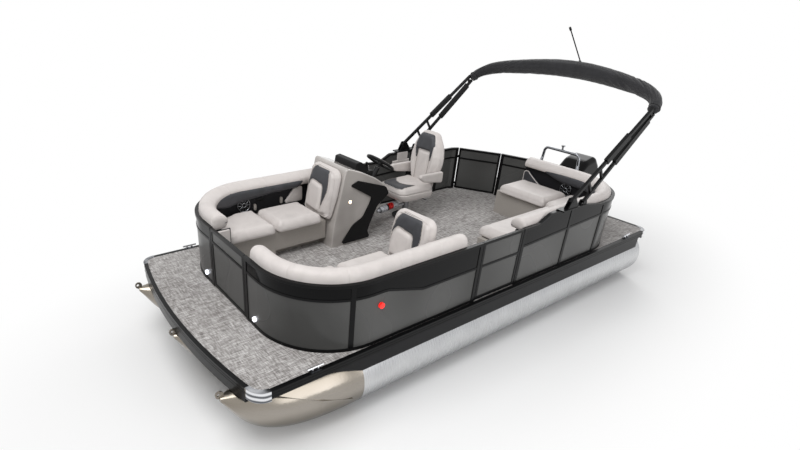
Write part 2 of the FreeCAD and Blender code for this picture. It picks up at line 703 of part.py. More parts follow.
# Console: a moulded pedestal at starboard that the bow seat's back leans on
console_height = 916.0
console_datum = lounge_back - fit_gap
console_in = -(fence_side - 822.0)
console_out = -(fence_side - bolster_inner - 5.0)
console_shape = [(0, 0), (-2.4, 27.2), (-18.2, 100), (-40.8, 92.5), (-65.5, 80.8), (-80.6, 70.7), (-88.3, 58.3),
                 (-74.8, 43.2), (-60.6, 24.7), (-58.2, 13.8), (-60.6, 0)]
side_panel_shape = [(-13.6, 2.6), (-31.1, 24.7), (-46.8, 32.6), (-55.7, 47.9), (-59.5, 57.0), (-24.8, 77.6),
                    (-36.4, 82.3), (-81.3, 67.9), (-87.7, 57.9), (-68.9, 43.4), (-58.1, 20.4), (-55.3, 11.1), (-60.6, 2.6)]
hood_shape = [(-62.0, 80.0), (-62.0, 86.0), (-52.0, 98.0), (-46.0, 102.0), (-39.0, 101.0), (-37.5, 91.0)]


def sized(shares, size, x, z):
    """Side outline drawn in percent of one size, from a foot point."""
    return [(x + size * a / 100, z + size * b / 100) for a, b in shares]


console_outline = sized(console_shape, console_height, console_datum, deck_top)
console_knee, console_head = console_outline[1], console_outline[2]
console = outline_x(console_outline, console_out, console_in, [0, 160, 34, 400, 400, 40, 30, 60, 160, 80, 0])
console = rounded(console, 18, lambda e: e.BoundBox.YMin > console_in - 1 and e.BoundBox.ZMax > deck_top + 5)
column_lean = math.radians(56)
column_radius = 30.0
wheel_centre = V(console_datum - 1.05 * console_height, -(fence_side - 462.0), deck_top + 0.847 * console_height)
wheel_below = 64.5


def leaned(shape):
    """A piece drawn about the steering column's axis, set on the column."""
    shape = shape.copy()
    shape.rotate(V(0, 0, 0), V(0, 1, 0), math.degrees(column_lean) - 90)
    shape.translate(wheel_centre)
    return shape


column = leaned(Part.makeCylinder(column_radius, 205, V(0, 0, -wheel_below - 205)))
nodes["console"] = joined([console, column])

# Black side panel on the console's inboard face
nodes["console_side_panel"] = outline_x(sized(side_panel_shape, console_height, console_datum, deck_top),
                                        console_in + fit_gap, console_in + 16,
                                        [20, 120, 60, 200, 20, 14, 20, 40, 30, 60, 160, 80, 20])

# Hood over the dash
nodes["dash_hood"] = outline_x(sized(hood_shape, console_height, console_datum, deck_top),
                               console_out + 130, console_in - 70, [8, 20, 40, 24, 16, 0]).cut(console)

# Backrests of the bow lounges lean aft, the starboard one against the console
back_thickness = 96.0
back_bottom = base_top + fit_gap
back_top_starboard = deck_top + 896.0
back_top_port = deck_top + 831.0
back_width = 545.0


def backrest(head_height, inner, facing_gap):
    rise = (console_knee[0] - console_head[0]) / (console_head[1] - console_knee[1])
    foot = console_knee[0] - (back_bottom - console_knee[1]) * rise + facing_gap
    head = console_knee[0] - (head_height - console_knee[1]) * rise + facing_gap
    body = outline_x([(foot, back_bottom), (head, head_height), (head + back_thickness * 0.8, head_height - 12),
                      (foot + back_thickness, back_bottom)], inner, inner + back_width, [0, 30, 34, 0])
    return rounded(body, 34, lambda e: e.BoundBox.ZLength > 300 and e.BoundBox.YLength < 1
                   and e.BoundBox.XMax > foot + 20)


port_back = backrest(back_top_port, fence_side - bolster_inner - 5.0 - back_width, fit_gap)
starboard_back = mirrored(backrest(back_top_starboard, -console_in + 22, fit_gap))
nodes["backrests_bow"] = Part.makeCompound([port_back, starboard_back])

# Steering wheel
wheel_radius = 172.0
wheel_rim = 17.0


def steering_wheel():
    rim = Part.makeTorus(wheel_radius, wheel_rim)
    hub = Part.makeCylinder(34, 40, V(0, 0, -24))
    neck = Part.makeCylinder(17, wheel_below - 24.5, V(0, 0, -wheel_below + 0.5))
    spokes = [Part.makeBox(wheel_radius, 26, 7, V(0, -13, -4)) for i in range(3)]
    for i, spoke in enumerate(spokes):
        spoke.rotate(V(0, 0, 0), V(0, 0, 1), 90 + 120 * i)
    return leaned(joined([rim, hub, neck] + spokes))


nodes["steering_wheel"] = steering_wheel()

# Helm chair on its pedestal, with the extinguisher's clamp in front
chair_x = console_datum - 1415.0
chair_y = -(fence_side - 510.0)
pedestal_base = 165.0
pedestal_radius = 42.0
chair_under = deck_top + 306.0
nodes["chair_pedestal"] = joined([Part.makeCylinder(pedestal_base, 14, V(chair_x, chair_y, deck_top)),
                                  Part.makeCone(80, 50, 60, V(chair_x, chair_y, deck_top + 14)),
                                  Part.makeCylinder(pedestal_radius, chair_under - deck_top - 74,
                                                    V(chair_x, chair_y, deck_top + 74))])
bottle_radius = 42.0
bottle_back = (chair_x + 165, chair_y, chair_under - 105)
bottle_front = (chair_x + 440, chair_y, chair_under - 145)
clamp_bar = outline_x([(chair_x + pedestal_radius + fit_gap, chair_under - 120), (chair_x + 215, chair_under - 120),
                       (chair_x + 215, chair_under - 142), (chair_x + pedestal_radius + fit_gap, chair_under - 142)],
                      chair_y - 14, chair_y + 14)
nodes["extinguisher"] = joined([rod(bottle_back, bottle_front, bottle_radius), clamp_bar,
                                rod(bottle_front, (chair_x + 485, chair_y, chair_under - 151), 19)])
seat_sides = 255.0
chair_height = 786.0
seat_shape = [(-33.5, -2.4), (35.5, -2.4), (40.5, 15.0), (36.0, 21.5), (-30.5, 20.0)]
rest_shape = [(-22.9, 7.6), (-33.1, 99.2), (-44.5, 98.0), (-38.2, 7.6)]
arm_shape = [(-42.6, 22.5), (0.0, 29.0), (12.4, 38.0), (7.0, 43.4), (-42.6, 42.4)]
arm_thickness = 60.0
rest_front = [(-170.0, 8.0), (-235.0, 24.0), (-272.0, 36.0), (-272.0, 48.0), (-240.0, 62.0), (-130.0, 99.5), (130.0, 99.5),
              (240.0, 62.0), (272.0, 48.0), (272.0, 36.0), (235.0, 24.0), (170.0, 8.0)]
post_clearance = 60.0


def chair():
    x, y, z = chair_x, chair_y, chair_under + 0.5
    mount = box(x - 120, x + 120, y - 110, y + 110, z, z + 25)
    seat = outline_x(sized(seat_shape, chair_height, x, z), y - seat_sides, y + seat_sides, [30, 40, 30, 40, 0])
    seat = seat.cut(Part.makeCylinder(post_clearance, 60, V(x, y, z - 60)))
    rest = outline_x(sized(rest_shape, chair_height, x, z), y - 280, y + 280, [0, 50, 40, 0])
    front = edges_closed([(x - 500, y + across, z + chair_height * up / 100) for across, up in rest_front],
                         [0, 120, 120, 120, 160, 90, 90, 160, 120, 120, 120, 0])
    rest = rest.common(Part.Face(front).extrude(V(500, 0, 0)))
    arms, links = [], []
    for s in (1, -1):
        middle = y + s * (seat_sides + 15)
        arms.append(outline_x(sized(arm_shape, chair_height, x, z), middle - arm_thickness / 2, middle + arm_thickness / 2,
                              [24, 40, 20, 22, 30]))
        links.append(box(x - 250, x - 200, middle - 35, middle + 10, z + 100, z + 240) if s > 0
                     else box(x - 250, x - 200, middle - 10, middle + 35, z + 100, z + 240))
    return joined([mount, seat, rest] + arms + links)


nodes["helm_chair"] = chair()

# Side pad and switch box on the raised rail beside the helm
pad_back, pad_front = chair_x - 440.0, chair_x - 140.0
pad_y = -(fence_side - fence_tube - 4.0 - fit_gap)
side_pad = rounded(box(pad_back, pad_front, pad_y, pad_y + 18, deck_top + 466, deck_top + 600), 9,
                   lambda e: e.BoundBox.YMin > pad_y + 14)
switch_box = box(pad_back + 40, pad_front - 80, pad_y, pad_y + 16, deck_top + 590, fence_hump - 6)
nodes["helm_side_pad"] = joined([side_pad, switch_box])

# Folded canopy: two arms a side pivot on the raised rail, raked aft, with the bows rolled in the boot
canopy_pivot = (-0.2719 * half_deck, half_beam - 19.0, fence_hump + 84.0)
canopy_rake = math.radians(35.1)
canopy_arm = 1450.0
canopy_tube = 16.0
foot_aft = 241.0
foot_lift = 20.0
mount_front, mount_back = canopy_pivot[0] + 147.0, canopy_pivot[0] - 300.0
mount_thickness = 14.0
mount_top = fence_hump + mount_thickness


def canopy_point(s, y, lift=0.0):
    """Point at a distance along the front arms, across the boat and square to them."""
    x = canopy_pivot[0] - s * math.cos(canopy_rake) + lift * math.sin(canopy_rake)
    z = canopy_pivot[2] + s * math.sin(canopy_rake) + lift * math.cos(canopy_rake)
    return (x, y, z)


def flat_bar(a, b, half, half_across):
    """Bar between two points that share their y, by its half sizes square to its length and across the boat."""
    ax, ay, az = a
    bx, _, bz = b
    length = math.hypot(bx - ax, bz - az)
    nx, nz = -(bz - az) / length * half, (bx - ax) / length * half
    return outline_x([(ax + nx, az + nz), (bx + nx, bz + nz), (bx - nx, bz - nz), (ax - nx, az - nz)],
                     ay - half_across, ay + half_across)


cheek_gap = 19.0
mount_plate = box(mount_back, mount_front, fence_side - fence_tube - 4, canopy_pivot[1] + 34, fence_hump, mount_top)
front_cheek = [(62, mount_top), (10, canopy_pivot[2] + 34), (-44, canopy_pivot[2] + 34), (-120, mount_top)]
rear_cheek = [(-foot_aft + 40, mount_top), (-foot_aft + 24, mount_top + 44), (-foot_aft - 22, mount_top + 44),
              (-foot_aft - 40, mount_top)]
cheeks = []
for side_points, bends in ((front_cheek, [0, 16, 16, 0]), (rear_cheek, [0, 10, 10, 0])):
    for s in (1, -1):
        middle = canopy_pivot[1] + s * (cheek_gap + 4)
        cheeks.append(outline_x([(canopy_pivot[0] + x, z) for x, z in side_points], middle - 4, middle + 4, bends))
pivot_radius = 6.0


def pivot_rod(reach, radius):
    """Bar across an arm's foot, about the pivot."""
    x, y, z = canopy_pivot
    return rod((x, y - reach, z), (x, y + reach, z), radius)


canopy_mount = joined([mount_plate, pivot_rod(30, pivot_radius)] + cheeks)
nodes["canopy_mounts"] = both_sides(canopy_mount)

arm_y = canopy_pivot[1]
rear_foot = (canopy_pivot[0] - foot_aft, arm_y, mount_top + foot_lift)
rear_foot_lift = -foot_aft * math.sin(canopy_rake) + (rear_foot[2] - canopy_pivot[2]) * math.cos(canopy_rake)
rear_foot_s = foot_aft * math.cos(canopy_rake) + (rear_foot[2] - canopy_pivot[2]) * math.sin(canopy_rake)
rear_top_lift = -75.0
sleeve_half = 33.0
sleeve_across = 20.0
tie_half = 12.0


def rear_lift(s):
    """Lift of the rear arm's middle at a distance along the front arms."""
    return rear_foot_lift + (rear_top_lift - rear_foot_lift) * (s - rear_foot_s) / (canopy_arm - rear_foot_s)


front_arm = flat_bar(canopy_point(-20, arm_y), canopy_point(canopy_arm, arm_y), canopy_tube, canopy_tube)
rear_arm = flat_bar(rear_foot, canopy_point(canopy_arm - 3, arm_y, rear_top_lift), canopy_tube, canopy_tube)
front_sleeve = flat_bar(canopy_point(600, arm_y), canopy_point(1010, arm_y), sleeve_half, sleeve_across)
rear_sleeve = flat_bar(canopy_point(730, arm_y, rear_lift(730)), canopy_point(1350, arm_y, rear_lift(1350)),
                       sleeve_half, sleeve_across)
ties = [flat_bar(canopy_point(s, arm_y), canopy_point(s, arm_y, rear_lift(s)), tie_half, tie_half)
        for s in (300, 500, 1400)]
arm = joined([front_arm, rear_arm, front_sleeve, rear_sleeve] + ties).cut(pivot_rod(40, pivot_radius + 0.05))
nodes["canopy_frame"] = both_sides(arm)

# The boot: a long bow in the arms' plane, thickest at its middle, from (distance along the arms, across, radius)
boot_lift = -40.0
boot_stations = [(canopy_arm + fit_gap, 1262.0, 60.0), (1530.0, 1250.0, 62.0), (1610.0, 1205.0, 67.0), (1690.0, 1105.0, 75.0),
                 (1760.0, 945.0, 82.0), (1818.0, 700.0, 90.0), (1866.0, 430.0, 97.0), (1895.0, 150.0, 102.0)]
boot_crown = 1899.0
boot_radius = 103.0


def boot():
    half = [V(s, y, r) for s, y, r in boot_stations]
    stations = half + [V(boot_crown, 0, boot_radius)] + [V(p.x, -p.y, p.z) for p in reversed(half)]
    path = Part.BSplineCurve()
    path.interpolate(Points=[V(p.x, p.y, 0) for p in stations], InitialTangent=V(1, 0, 0), FinalTangent=V(-1, 0, 0))
    up = V(math.sin(canopy_rake), 0, math.cos(canopy_rake))
    rings = []
    for p in stations:
        flat = path.tangent(path.parameter(V(p.x, p.y, 0)))[0]
        middle = V(*canopy_point(p.x, p.y, boot_lift))
        ahead = V(*canopy_point(p.x + flat.x, p.y + flat.y, boot_lift)) - middle
        side = up.cross(ahead).normalize()
        points = [middle + up * p.z, middle + side * p.z, middle - up * p.z, middle - side * p.z]
        halves = [Part.Arc(points[0], points[1], points[2]), Part.Arc(points[2], points[3], points[0])]
        rings.append(Part.Wire([h.toShape() for h in halves]))
    return Part.makeLoft(rings, True, False)


nodes["canopy_boot"] = boot()

# All-round light on a staff from the middle of the boot
staff_y = 80.0
staff_seat = math.radians(-10)
staff_rake = math.radians(45.7)
staff_length = 500.0
lantern_length = 40.0


def reaching(point, angle, reach):
    """The point a distance away, at an angle forward of upright."""
    return (point[0] + reach * math.sin(angle), point[1], point[2] + reach * math.cos(angle))


boot_middle = canopy_point(boot_crown, staff_y, boot_lift)
seat_radius = boot_radius - 0.5
staff_foot = reaching(boot_middle, staff_seat, boot_radius + 7)
staff_top = reaching(staff_foot, staff_rake, staff_length)
nodes["light_staff"] = joined([rod(reaching(boot_middle, staff_seat, seat_radius),
                                   reaching(boot_middle, staff_seat, seat_radius + 8), 16),
                               rod(staff_foot, staff_top, 7),
                               rod(staff_top, reaching(staff_top, staff_rake, lantern_length), 13)])

# Tow bar over the stern deck, with forward braces and its rope pin
tow_x = -half_deck + 275.0
tow_half = 262.0
tow_foot_half = 330.0
tow_top = deck_top + 766.0
tow_tube = 19.0
brace_reach = 190.0
tow_hoop = pipe([(tow_x, -tow_foot_half, deck_top + 8), (tow_x, -tow_half, tow_top), (tow_x, tow_half, tow_top),
                 (tow_x, tow_foot_half, deck_top + 8)], tow_tube, 60)
tow_pin_radius = 13.0
tow_knob_radius = 26.0
tow_pin_height = 62.0
tow_pieces = [tow_hoop, Part.makeCylinder(tow_pin_radius, tow_pin_height, V(tow_x, 0, tow_top)),
              Part.makeCylinder(tow_knob_radius, 14, V(tow_x, 0, tow_top + tow_pin_height))]
for s in (1, -1):
    joint_y = s * (tow_half + (tow_foot_half - tow_half) * 0.16)
    tow_pieces.append(rod((tow_x, joint_y, tow_top - 120), (tow_x + brace_reach, s * tow_foot_half, deck_top + 5), 14))
    tow_pieces += [Part.makeCylinder(48, 8.5, V(x, s * tow_foot_half, deck_top)) for x in (tow_x, tow_x + brace_reach)]
nodes["tow_hoop"] = joined(tow_pieces)

# Horn cleats on the deck's edges
cleat_x = (half_deck - 545.0, -half_deck + 545.0)


def cleat(x, y):
    z = deck_top + rail_lip_thickness
    horns = rod((x - 75, y, z + 34), (x + 75, y, z + 34), 9)
    legs = [Part.makeCylinder(10, 34, V(x + s * 26, y, z)) for s in (1, -1)]
    return joined([horns, box(x - 48, x + 48, y - 20, y + 20, z, z + 7)] + legs)


cleat_y = half_beam - rail_thickness
nodes["cleats"] = Part.makeCompound([cleat(x, s * cleat_y) for x in cleat_x for s in (1, -1)])

# Outboard, drawn upright from its tilt axis and then tilted as it is parked
tilt_axis = V(transom_face + 22, 0, transom_top + 50)
parked_tilt = 22.0
king_x = -150.0
gear_z = -735.0
prop_x = -432.0


def placed(shape):
    shape = shape.copy()
    shape.rotate(V(0, 0, 0), V(0, 1, 0), parked_tilt)
    shape.translate(tilt_axis)
    return shape


clamp_side = [(-60, -330), (-22, -330), (-22, -50), (46, -50), (46, -128), (60, -128), (60, 4), (20, 34), (-44, 24)]
clamp_plates = [outline_x(clamp_side, y - 10, y + 10) for y in (105, -105)]
clamp_tie = box(-60, -44, -100, 100, -325, -285)
clamp_screws = [rod((18, y, -104), (96, y, -104), 9) for y in (105, -105)]
tilt_tube = rod((0, -118, 0), (0, 118, 0), 14)
clamp = joined(clamp_plates + [tilt_tube, clamp_tie] + clamp_screws)
clamp.translate(tilt_axis)
nodes["motor_clamp"] = clamp
pod = outline_x(pod_outline, -pod_half, pod_half)
nodes["motor_pod"] = pod

swivel_body = joined([rod((king_x, 0, -270), (king_x, 0, 30), 44), box(king_x, 30, -80, 80, -30, 26),
                      box(king_x, -70, -30, 30, -220, -30)])
swivel = swivel_body.cut(rod((0, -140, 0), (0, 140, 0), 14.05))
nodes["motor_swivel"] = placed(swivel)

leg_section = [(king_x - 60, 46), (king_x - 60, -46), (king_x - 240, -18), (king_x - 240, 18)]
leg = outline_z(leg_section, -600, 60, [30, 30, 14, 14])
yokes = [box(king_x - 120, king_x + 40, -46, 46, 30.5, 78), box(king_x - 120, king_x + 36, -40, 40, -304, -270.5)]
plate = outline_z([(king_x + 40, 0), (king_x - 60, 105), (king_x - 400, 95), (king_x - 400, -95), (king_x - 60, -105)], -548, -538,
                  [0, 40, 30, 30, 40])
gearcase_length, gearcase_radius, nose_radius = 300.0, 56.0, 36.0
nose_flat = 15.0
cap_radius = (nose_radius ** 2 + nose_flat ** 2) / (2 * nose_flat)
cap_half = math.asin(nose_radius / cap_radius) / 2
bullet = V(prop_x + gearcase_length, 0, 0)
shoulder = V(prop_x + gearcase_length - nose_flat, 0, nose_radius)
cap_middle = bullet + V(-cap_radius * (1 - math.cos(cap_half)), 0, cap_radius * math.sin(cap_half))
swell = V(prop_x + 215, 0, gearcase_radius)
between = V(prop_x + 254, 0, gearcase_radius - 6)
gearcase = turned([line(V(prop_x, 0, 0), V(prop_x, 0, 50)), line(V(prop_x, 0, 50), swell), Part.Arc(swell, between, shoulder).toShape(),
                   Part.Arc(shoulder, cap_middle, bullet).toShape(), line(bullet, V(prop_x, 0, 0))], 0, gear_z)
skeg = outline_x([(king_x - 50, gear_z - 30), (king_x - 180, gear_z - 30), (king_x - 230, gear_z - 165), (king_x - 140, gear_z - 165)],
                 -5, 5)
lower_leg = outline_z([(king_x - 40, 22), (king_x - 40, -22), (king_x - 236, -9), (king_x - 236, 9)], gear_z - 12, -560, [12, 12, 6, 6])
nodes["motor_leg"] = placed(joined([leg, plate, gearcase, skeg, lower_leg] + yokes))

cowl = outline_x([(30, 78.5), (45, 250), (0, 420), (-180, 480), (-410, 440), (-480, 260), (-460, 78.5)], -190, 190,
                 [30, 100, 80, 200, 100, 120, 30])
nodes["motor_cowl"] = placed(rounded(cowl, 70, lambda e: abs(abs(e.BoundBox.YMin) - 190) < 1 and e.BoundBox.YLength < 1
                                     and e.BoundBox.ZMin > 79))


def propeller():
    hub = Part.makeCone(54, 44, 66, V(prop_x - 0.5, 0, gear_z), V(-1, 0, 0))
    blades = []
    for i in range(3):
        disc = Part.makeCylinder(62, 9, V(0, 0, 0), V(1, 0, 0))
        disc.rotate(V(0, 0, 0), V(0, 0, 1), 32)
        disc.translate(V(prop_x - 33, 0, gear_z + 100))
        disc.rotate(V(prop_x, 0, gear_z), V(1, 0, 0), 120 * i)
        blades.append(disc)
    return joined([hub] + blades)


nodes["propeller"] = placed(propeller())

# Running lights
nav_x, nav_z = fence_bow - 762.0, deck_top + 370.0
nav = rod((nav_x, fence_side - 6 - 0.0, nav_z), (nav_x, fence_side + 16, nav_z), 26)
nodes["side_lights"] = both_sides(nav)
dock_y, dock_z = bow_gate_half + 160.0, deck_top + 86.0
nodes["docking_lights"] = both_sides(rod((fence_bow - 6, dock_y, dock_z), (fence_bow + 12, dock_y, dock_z), 22))

os.makedirs("parts", exist_ok=True)
for name, shape in nodes.items():
    shape = shape.copy()
    shape.translate(V(deck_ahead_of_origin, 0, 0))
    shape.exportStep("parts/" + name + ".step")
    b = shape.optimalBoundingBox(False, False)
    print(f"{name:24s} solids {len(shape.Solids):3d} valid {shape.isValid()} "
          f"x {b.XMin:8.1f} {b.XMax:8.1f} y {b.YMin:8.1f} {b.YMax:8.1f} z {b.ZMin:7.1f} {b.ZMax:7.1f}")
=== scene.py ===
# Pontoon boat on three tubes, with a fenced deck, lounges, a helm, a folded canopy and a tilted outboard.
import math

import bmesh
import bpy
from mathutils import Matrix, Vector, noise
from mathutils.bvhtree import BVHTree
from mathutils.geometry import delaunay_2d_cdt


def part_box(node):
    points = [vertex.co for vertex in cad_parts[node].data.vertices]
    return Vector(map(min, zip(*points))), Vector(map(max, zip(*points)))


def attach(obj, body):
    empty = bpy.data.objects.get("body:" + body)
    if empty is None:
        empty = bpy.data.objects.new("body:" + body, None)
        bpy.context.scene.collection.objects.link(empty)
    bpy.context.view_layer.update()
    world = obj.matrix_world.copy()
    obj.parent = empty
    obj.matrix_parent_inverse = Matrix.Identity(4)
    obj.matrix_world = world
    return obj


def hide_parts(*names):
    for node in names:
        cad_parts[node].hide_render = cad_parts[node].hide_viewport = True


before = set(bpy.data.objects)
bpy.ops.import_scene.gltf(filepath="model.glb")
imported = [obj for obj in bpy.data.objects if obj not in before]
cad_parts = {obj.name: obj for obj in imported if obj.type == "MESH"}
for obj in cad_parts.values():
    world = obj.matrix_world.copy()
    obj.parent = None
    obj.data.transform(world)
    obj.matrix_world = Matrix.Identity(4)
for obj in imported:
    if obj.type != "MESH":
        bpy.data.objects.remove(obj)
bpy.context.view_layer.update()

# Studio: a pale floor that fades to white away from the boat, under three soft lamps. The floor takes the
# boat's shadow, and the world is white where a ray from the camera or off polished metal meets it.


def paint(hexa):
    """A hex colour as the shader's linear values."""
    values = [int(hexa[i:i + 2], 16) / 255 for i in (0, 2, 4)]
    return [v / 12.92 if v <= 0.04045 else ((v + 0.055) / 1.055) ** 2.4 for v in values] + [1.0]


def add(tree, kind, inputs=None, **settings):
    """Adds a node with its settings; an input is a value or another node's output."""
    made = tree.nodes.new(kind)
    for key, value in settings.items():
        setattr(made, key, value)
    for key, value in (inputs or {}).items():
        if isinstance(value, bpy.types.NodeSocket):
            tree.links.new(value, made.inputs[key])
        else:
            made.inputs[key].default_value = value
    return made


def new_material(name, colour, roughness, metallic=0.0, **sockets):
    """A material with its shader set; gives the material, its tree, its shader and object coordinates."""
    material = bpy.data.materials.new(name)
    material.use_nodes = True
    tree = material.node_tree
    shader = tree.nodes["Principled BSDF"]
    shader.inputs["Base Color"].default_value = paint(colour)
    shader.inputs["Roughness"].default_value = roughness
    shader.inputs["Metallic"].default_value = metallic
    for key, value in sockets.items():
        shader.inputs[key.replace("_", " ")].default_value = value
    place = add(tree, "ShaderNodeTexCoord").outputs["Object"]
    return material, tree, shader, place


def seen_plainly(tree):
    """One for a ray from the camera, off polished metal or through glass, and nought for any other."""
    path = add(tree, "ShaderNodeLightPath")
    seen = add(tree, "ShaderNodeMath", {0: path.outputs["Is Camera Ray"], 1: path.outputs["Is Glossy Ray"]},
               operation="MAXIMUM")
    seen = add(tree, "ShaderNodeMath", {0: seen.outputs[0], 1: path.outputs["Is Transmission Ray"]},
               operation="MAXIMUM")
    return seen.outputs[0]


floor_half = 60.0
bpy.ops.mesh.primitive_plane_add(size=2 * floor_half, location=(0, 0, 0))
floor = bpy.context.object
floor.name = "studio_floor"
floor_paper, tree, shader, place = new_material("floor_paper", "f4f4f4", 0.9)
shader.inputs["Specular IOR Level"].default_value = 0.2
grey_reach, white_reach = 1.5, 3.1
oval = add(tree, "ShaderNodeMapping", {"Vector": place, "Scale": (0.5, 1.0, 1.0)})
away = add(tree, "ShaderNodeVectorMath", {0: oval.outputs[0]}, operation="LENGTH")
fade = add(tree, "ShaderNodeMapRange",
           {"Value": away.outputs["Value"], "From Min": grey_reach, "From Max": white_reach},
           interpolation_type="SMOOTHSTEP")
share = add(tree, "ShaderNodeMath", {0: fade.outputs[0], 1: seen_plainly(tree)}, operation="MULTIPLY")
white = add(tree, "ShaderNodeEmission", {"Color": (1, 1, 1, 1), "Strength": 1.0})
both = add(tree, "ShaderNodeMixShader", {0: share.outputs[0], 1: shader.outputs[0], 2: white.outputs[0]})
tree.links.new(both.outputs[0], tree.nodes["Material Output"].inputs["Surface"])
floor.data.materials.append(floor_paper)

world = bpy.data.worlds.new("studio")
bpy.context.scene.world = world
world.use_nodes = True
tree = world.node_tree
strength = add(tree, "ShaderNodeMapRange", {"Value": seen_plainly(tree), "To Min": 0.42, "To Max": 1.0})
tree.nodes["Background"].inputs["Color"].default_value = (1, 1, 1, 1)
tree.links.new(strength.outputs[0], tree.nodes["Background"].inputs["Strength"])
for name, spot, aim, size, watts in (("key", (4.5, 1.0, 7.5), (0, 0, 0.8), 5.0, 400),
                                     ("port_fill", (1.0, 8.0, 3.0), (0, 0, 0.9), 5.0, 170),
                                     ("stern_rim", (-6.0, -3.0, 5.0), (-1, 0, 1.0), 4.0, 130)):
    lamp = bpy.data.objects.new(name, bpy.data.lights.new(name, "AREA"))
    lamp.data.size = size
    lamp.data.energy = watts
    lamp.location = spot
    lamp.rotation_euler = (Vector(aim) - Vector(spot)).to_track_quat("-Z", "Y").to_euler()
    bpy.context.collection.objects.link(lamp)
scene = bpy.context.scene
scene.view_settings.view_transform = "Standard"

# Camera at the photograph's place, fitted to the deck's corners, the fence and the canopy's feet. It is
# placed from the deck's middle, as every size below is, in metres.
deck_end = 2.895
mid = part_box("rub_rails")[0].x + deck_end
camera_turn, camera_height, camera_roll = math.radians(53.08), math.radians(27.90), math.radians(2.34)
camera_spot = Vector((mid + 4.129, 3.850, 3.287))
camera = bpy.data.objects.new("camera", bpy.data.cameras.new("camera"))
bpy.context.collection.objects.link(camera)
sensor_wide, focal_pixels, photo_wide = 36.0, 513.3, 800
camera.data.sensor_width = sensor_wide
camera.data.lens = sensor_wide * focal_pixels / photo_wide
camera.data.shift_x = 0.0799
camera.data.shift_y = 0.0513
back = Vector((math.cos(camera_height) * math.cos(camera_turn),
               math.cos(camera_height) * math.sin(camera_turn), math.sin(camera_height)))
right = Vector((0, 0, 1)).cross(back).normalized()
up = back.cross(right)
rolled_right = right * math.cos(camera_roll) + up * math.sin(camera_roll)
rolled_up = up * math.cos(camera_roll) - right * math.sin(camera_roll)
camera_axes = Matrix((rolled_right, rolled_up, back)).transposed().to_4x4()
camera.matrix_world = Matrix.Translation(camera_spot) @ camera_axes
camera.data.clip_end = 200
scene.camera = camera


def dress(material, *nodes):
    """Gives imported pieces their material."""
    for name in nodes:
        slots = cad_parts[name].data.materials
        slots.clear()
        slots.append(material)


def make_piece(name, points, faces, material, body="hull and deck"):
    """A smooth-shaded mesh piece from points measured from the deck's middle."""
    mesh = bpy.data.meshes.new(name)
    mesh.from_pydata([(x + mid, y, z) for x, y, z in points], [], faces)
    mesh.update()
    fix = bmesh.new()
    fix.from_mesh(mesh)
    bmesh.ops.recalc_face_normals(fix, faces=fix.faces)
    fix.to_mesh(mesh)
    fix.free()
    for face in mesh.polygons:
        face.use_smooth = True
    piece = bpy.data.objects.new(name, mesh)
    bpy.context.collection.objects.link(piece)
    mesh.materials.append(material)
    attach(piece, body)
    return piece


# Tubes: rolled marine aluminium sheet, 2.5 mm thick, left with its brushed mill finish. The rolling gives
# faint rings around each tube and shallow waves that bend its reflections. Reflection and shade are painted
# into the colour in bands: dark at the foot, light over the middle and dark again under the deck.
def texture(tree, shader, place, scale, lift, rough=None, stretch=(1, 1, 1), strength=0.2, detail=3.0):
    """Fine relief over a surface, so many grains to the metre, with a roughness that follows it."""
    moved = add(tree, "ShaderNodeMapping", {"Vector": place, "Scale": stretch})
    grain = add(tree, "ShaderNodeTexNoise", {"Vector": moved.outputs[0], "Scale": scale, "Detail": detail})
    bump = add(tree, "ShaderNodeBump", {"Height": grain.outputs[0], "Strength": strength, "Distance": lift})
    tree.links.new(bump.outputs[0], shader.inputs["Normal"])
    if rough:
        spread = add(tree, "ShaderNodeMapRange",
                     {"Value": grain.outputs[0], "To Min": rough[0], "To Max": rough[1]})
        tree.links.new(spread.outputs[0], shader.inputs["Roughness"])
    return grain.outputs[0]


def blotched(tree, shader, source, dark, light, low=0.35, high=0.65):
    """Slow changes of shade between two colours."""
    ramp = add(tree, "ShaderNodeValToRGB", {"Fac": source})
    for stop, spot, hexa in zip(ramp.color_ramp.elements, (low, high), (dark, light)):
        stop.position = spot
        stop.color = paint(hexa)
    tree.links.new(ramp.outputs[0], shader.inputs["Base Color"])


def painted_upright_light(tree, shader, source, place, top, light_and_shade_tones):
    """Paints light and shade into the colour in bands from the ground up to a height, their edges moved a
    little by a noise.
    """
    axes = add(tree, "ShaderNodeSeparateXYZ", {"Vector": place})
    shift = add(tree, "ShaderNodeMapRange", {"Value": source, "To Min": -0.06 * top, "To Max": 0.06 * top})
    level = add(tree, "ShaderNodeMath", {0: axes.outputs["Z"], 1: shift.outputs[0]}, operation="ADD")
    level = add(tree, "ShaderNodeMath", {0: level.outputs[0], 1: top}, operation="DIVIDE")
    ramp = add(tree, "ShaderNodeValToRGB", {"Fac": level.outputs[0]})
    ramp.color_ramp.interpolation = "EASE"
    stops = ramp.color_ramp.elements
    stops[0].color = paint(light_and_shade_tones[0])
    stops[1].color = paint(light_and_shade_tones[-1])
    for k, hexa in enumerate(light_and_shade_tones[1:-1], 1):
        stops.new(k / (len(light_and_shade_tones) - 1)).color = paint(hexa)
    tree.links.new(ramp.outputs[0], shader.inputs["Base Color"])


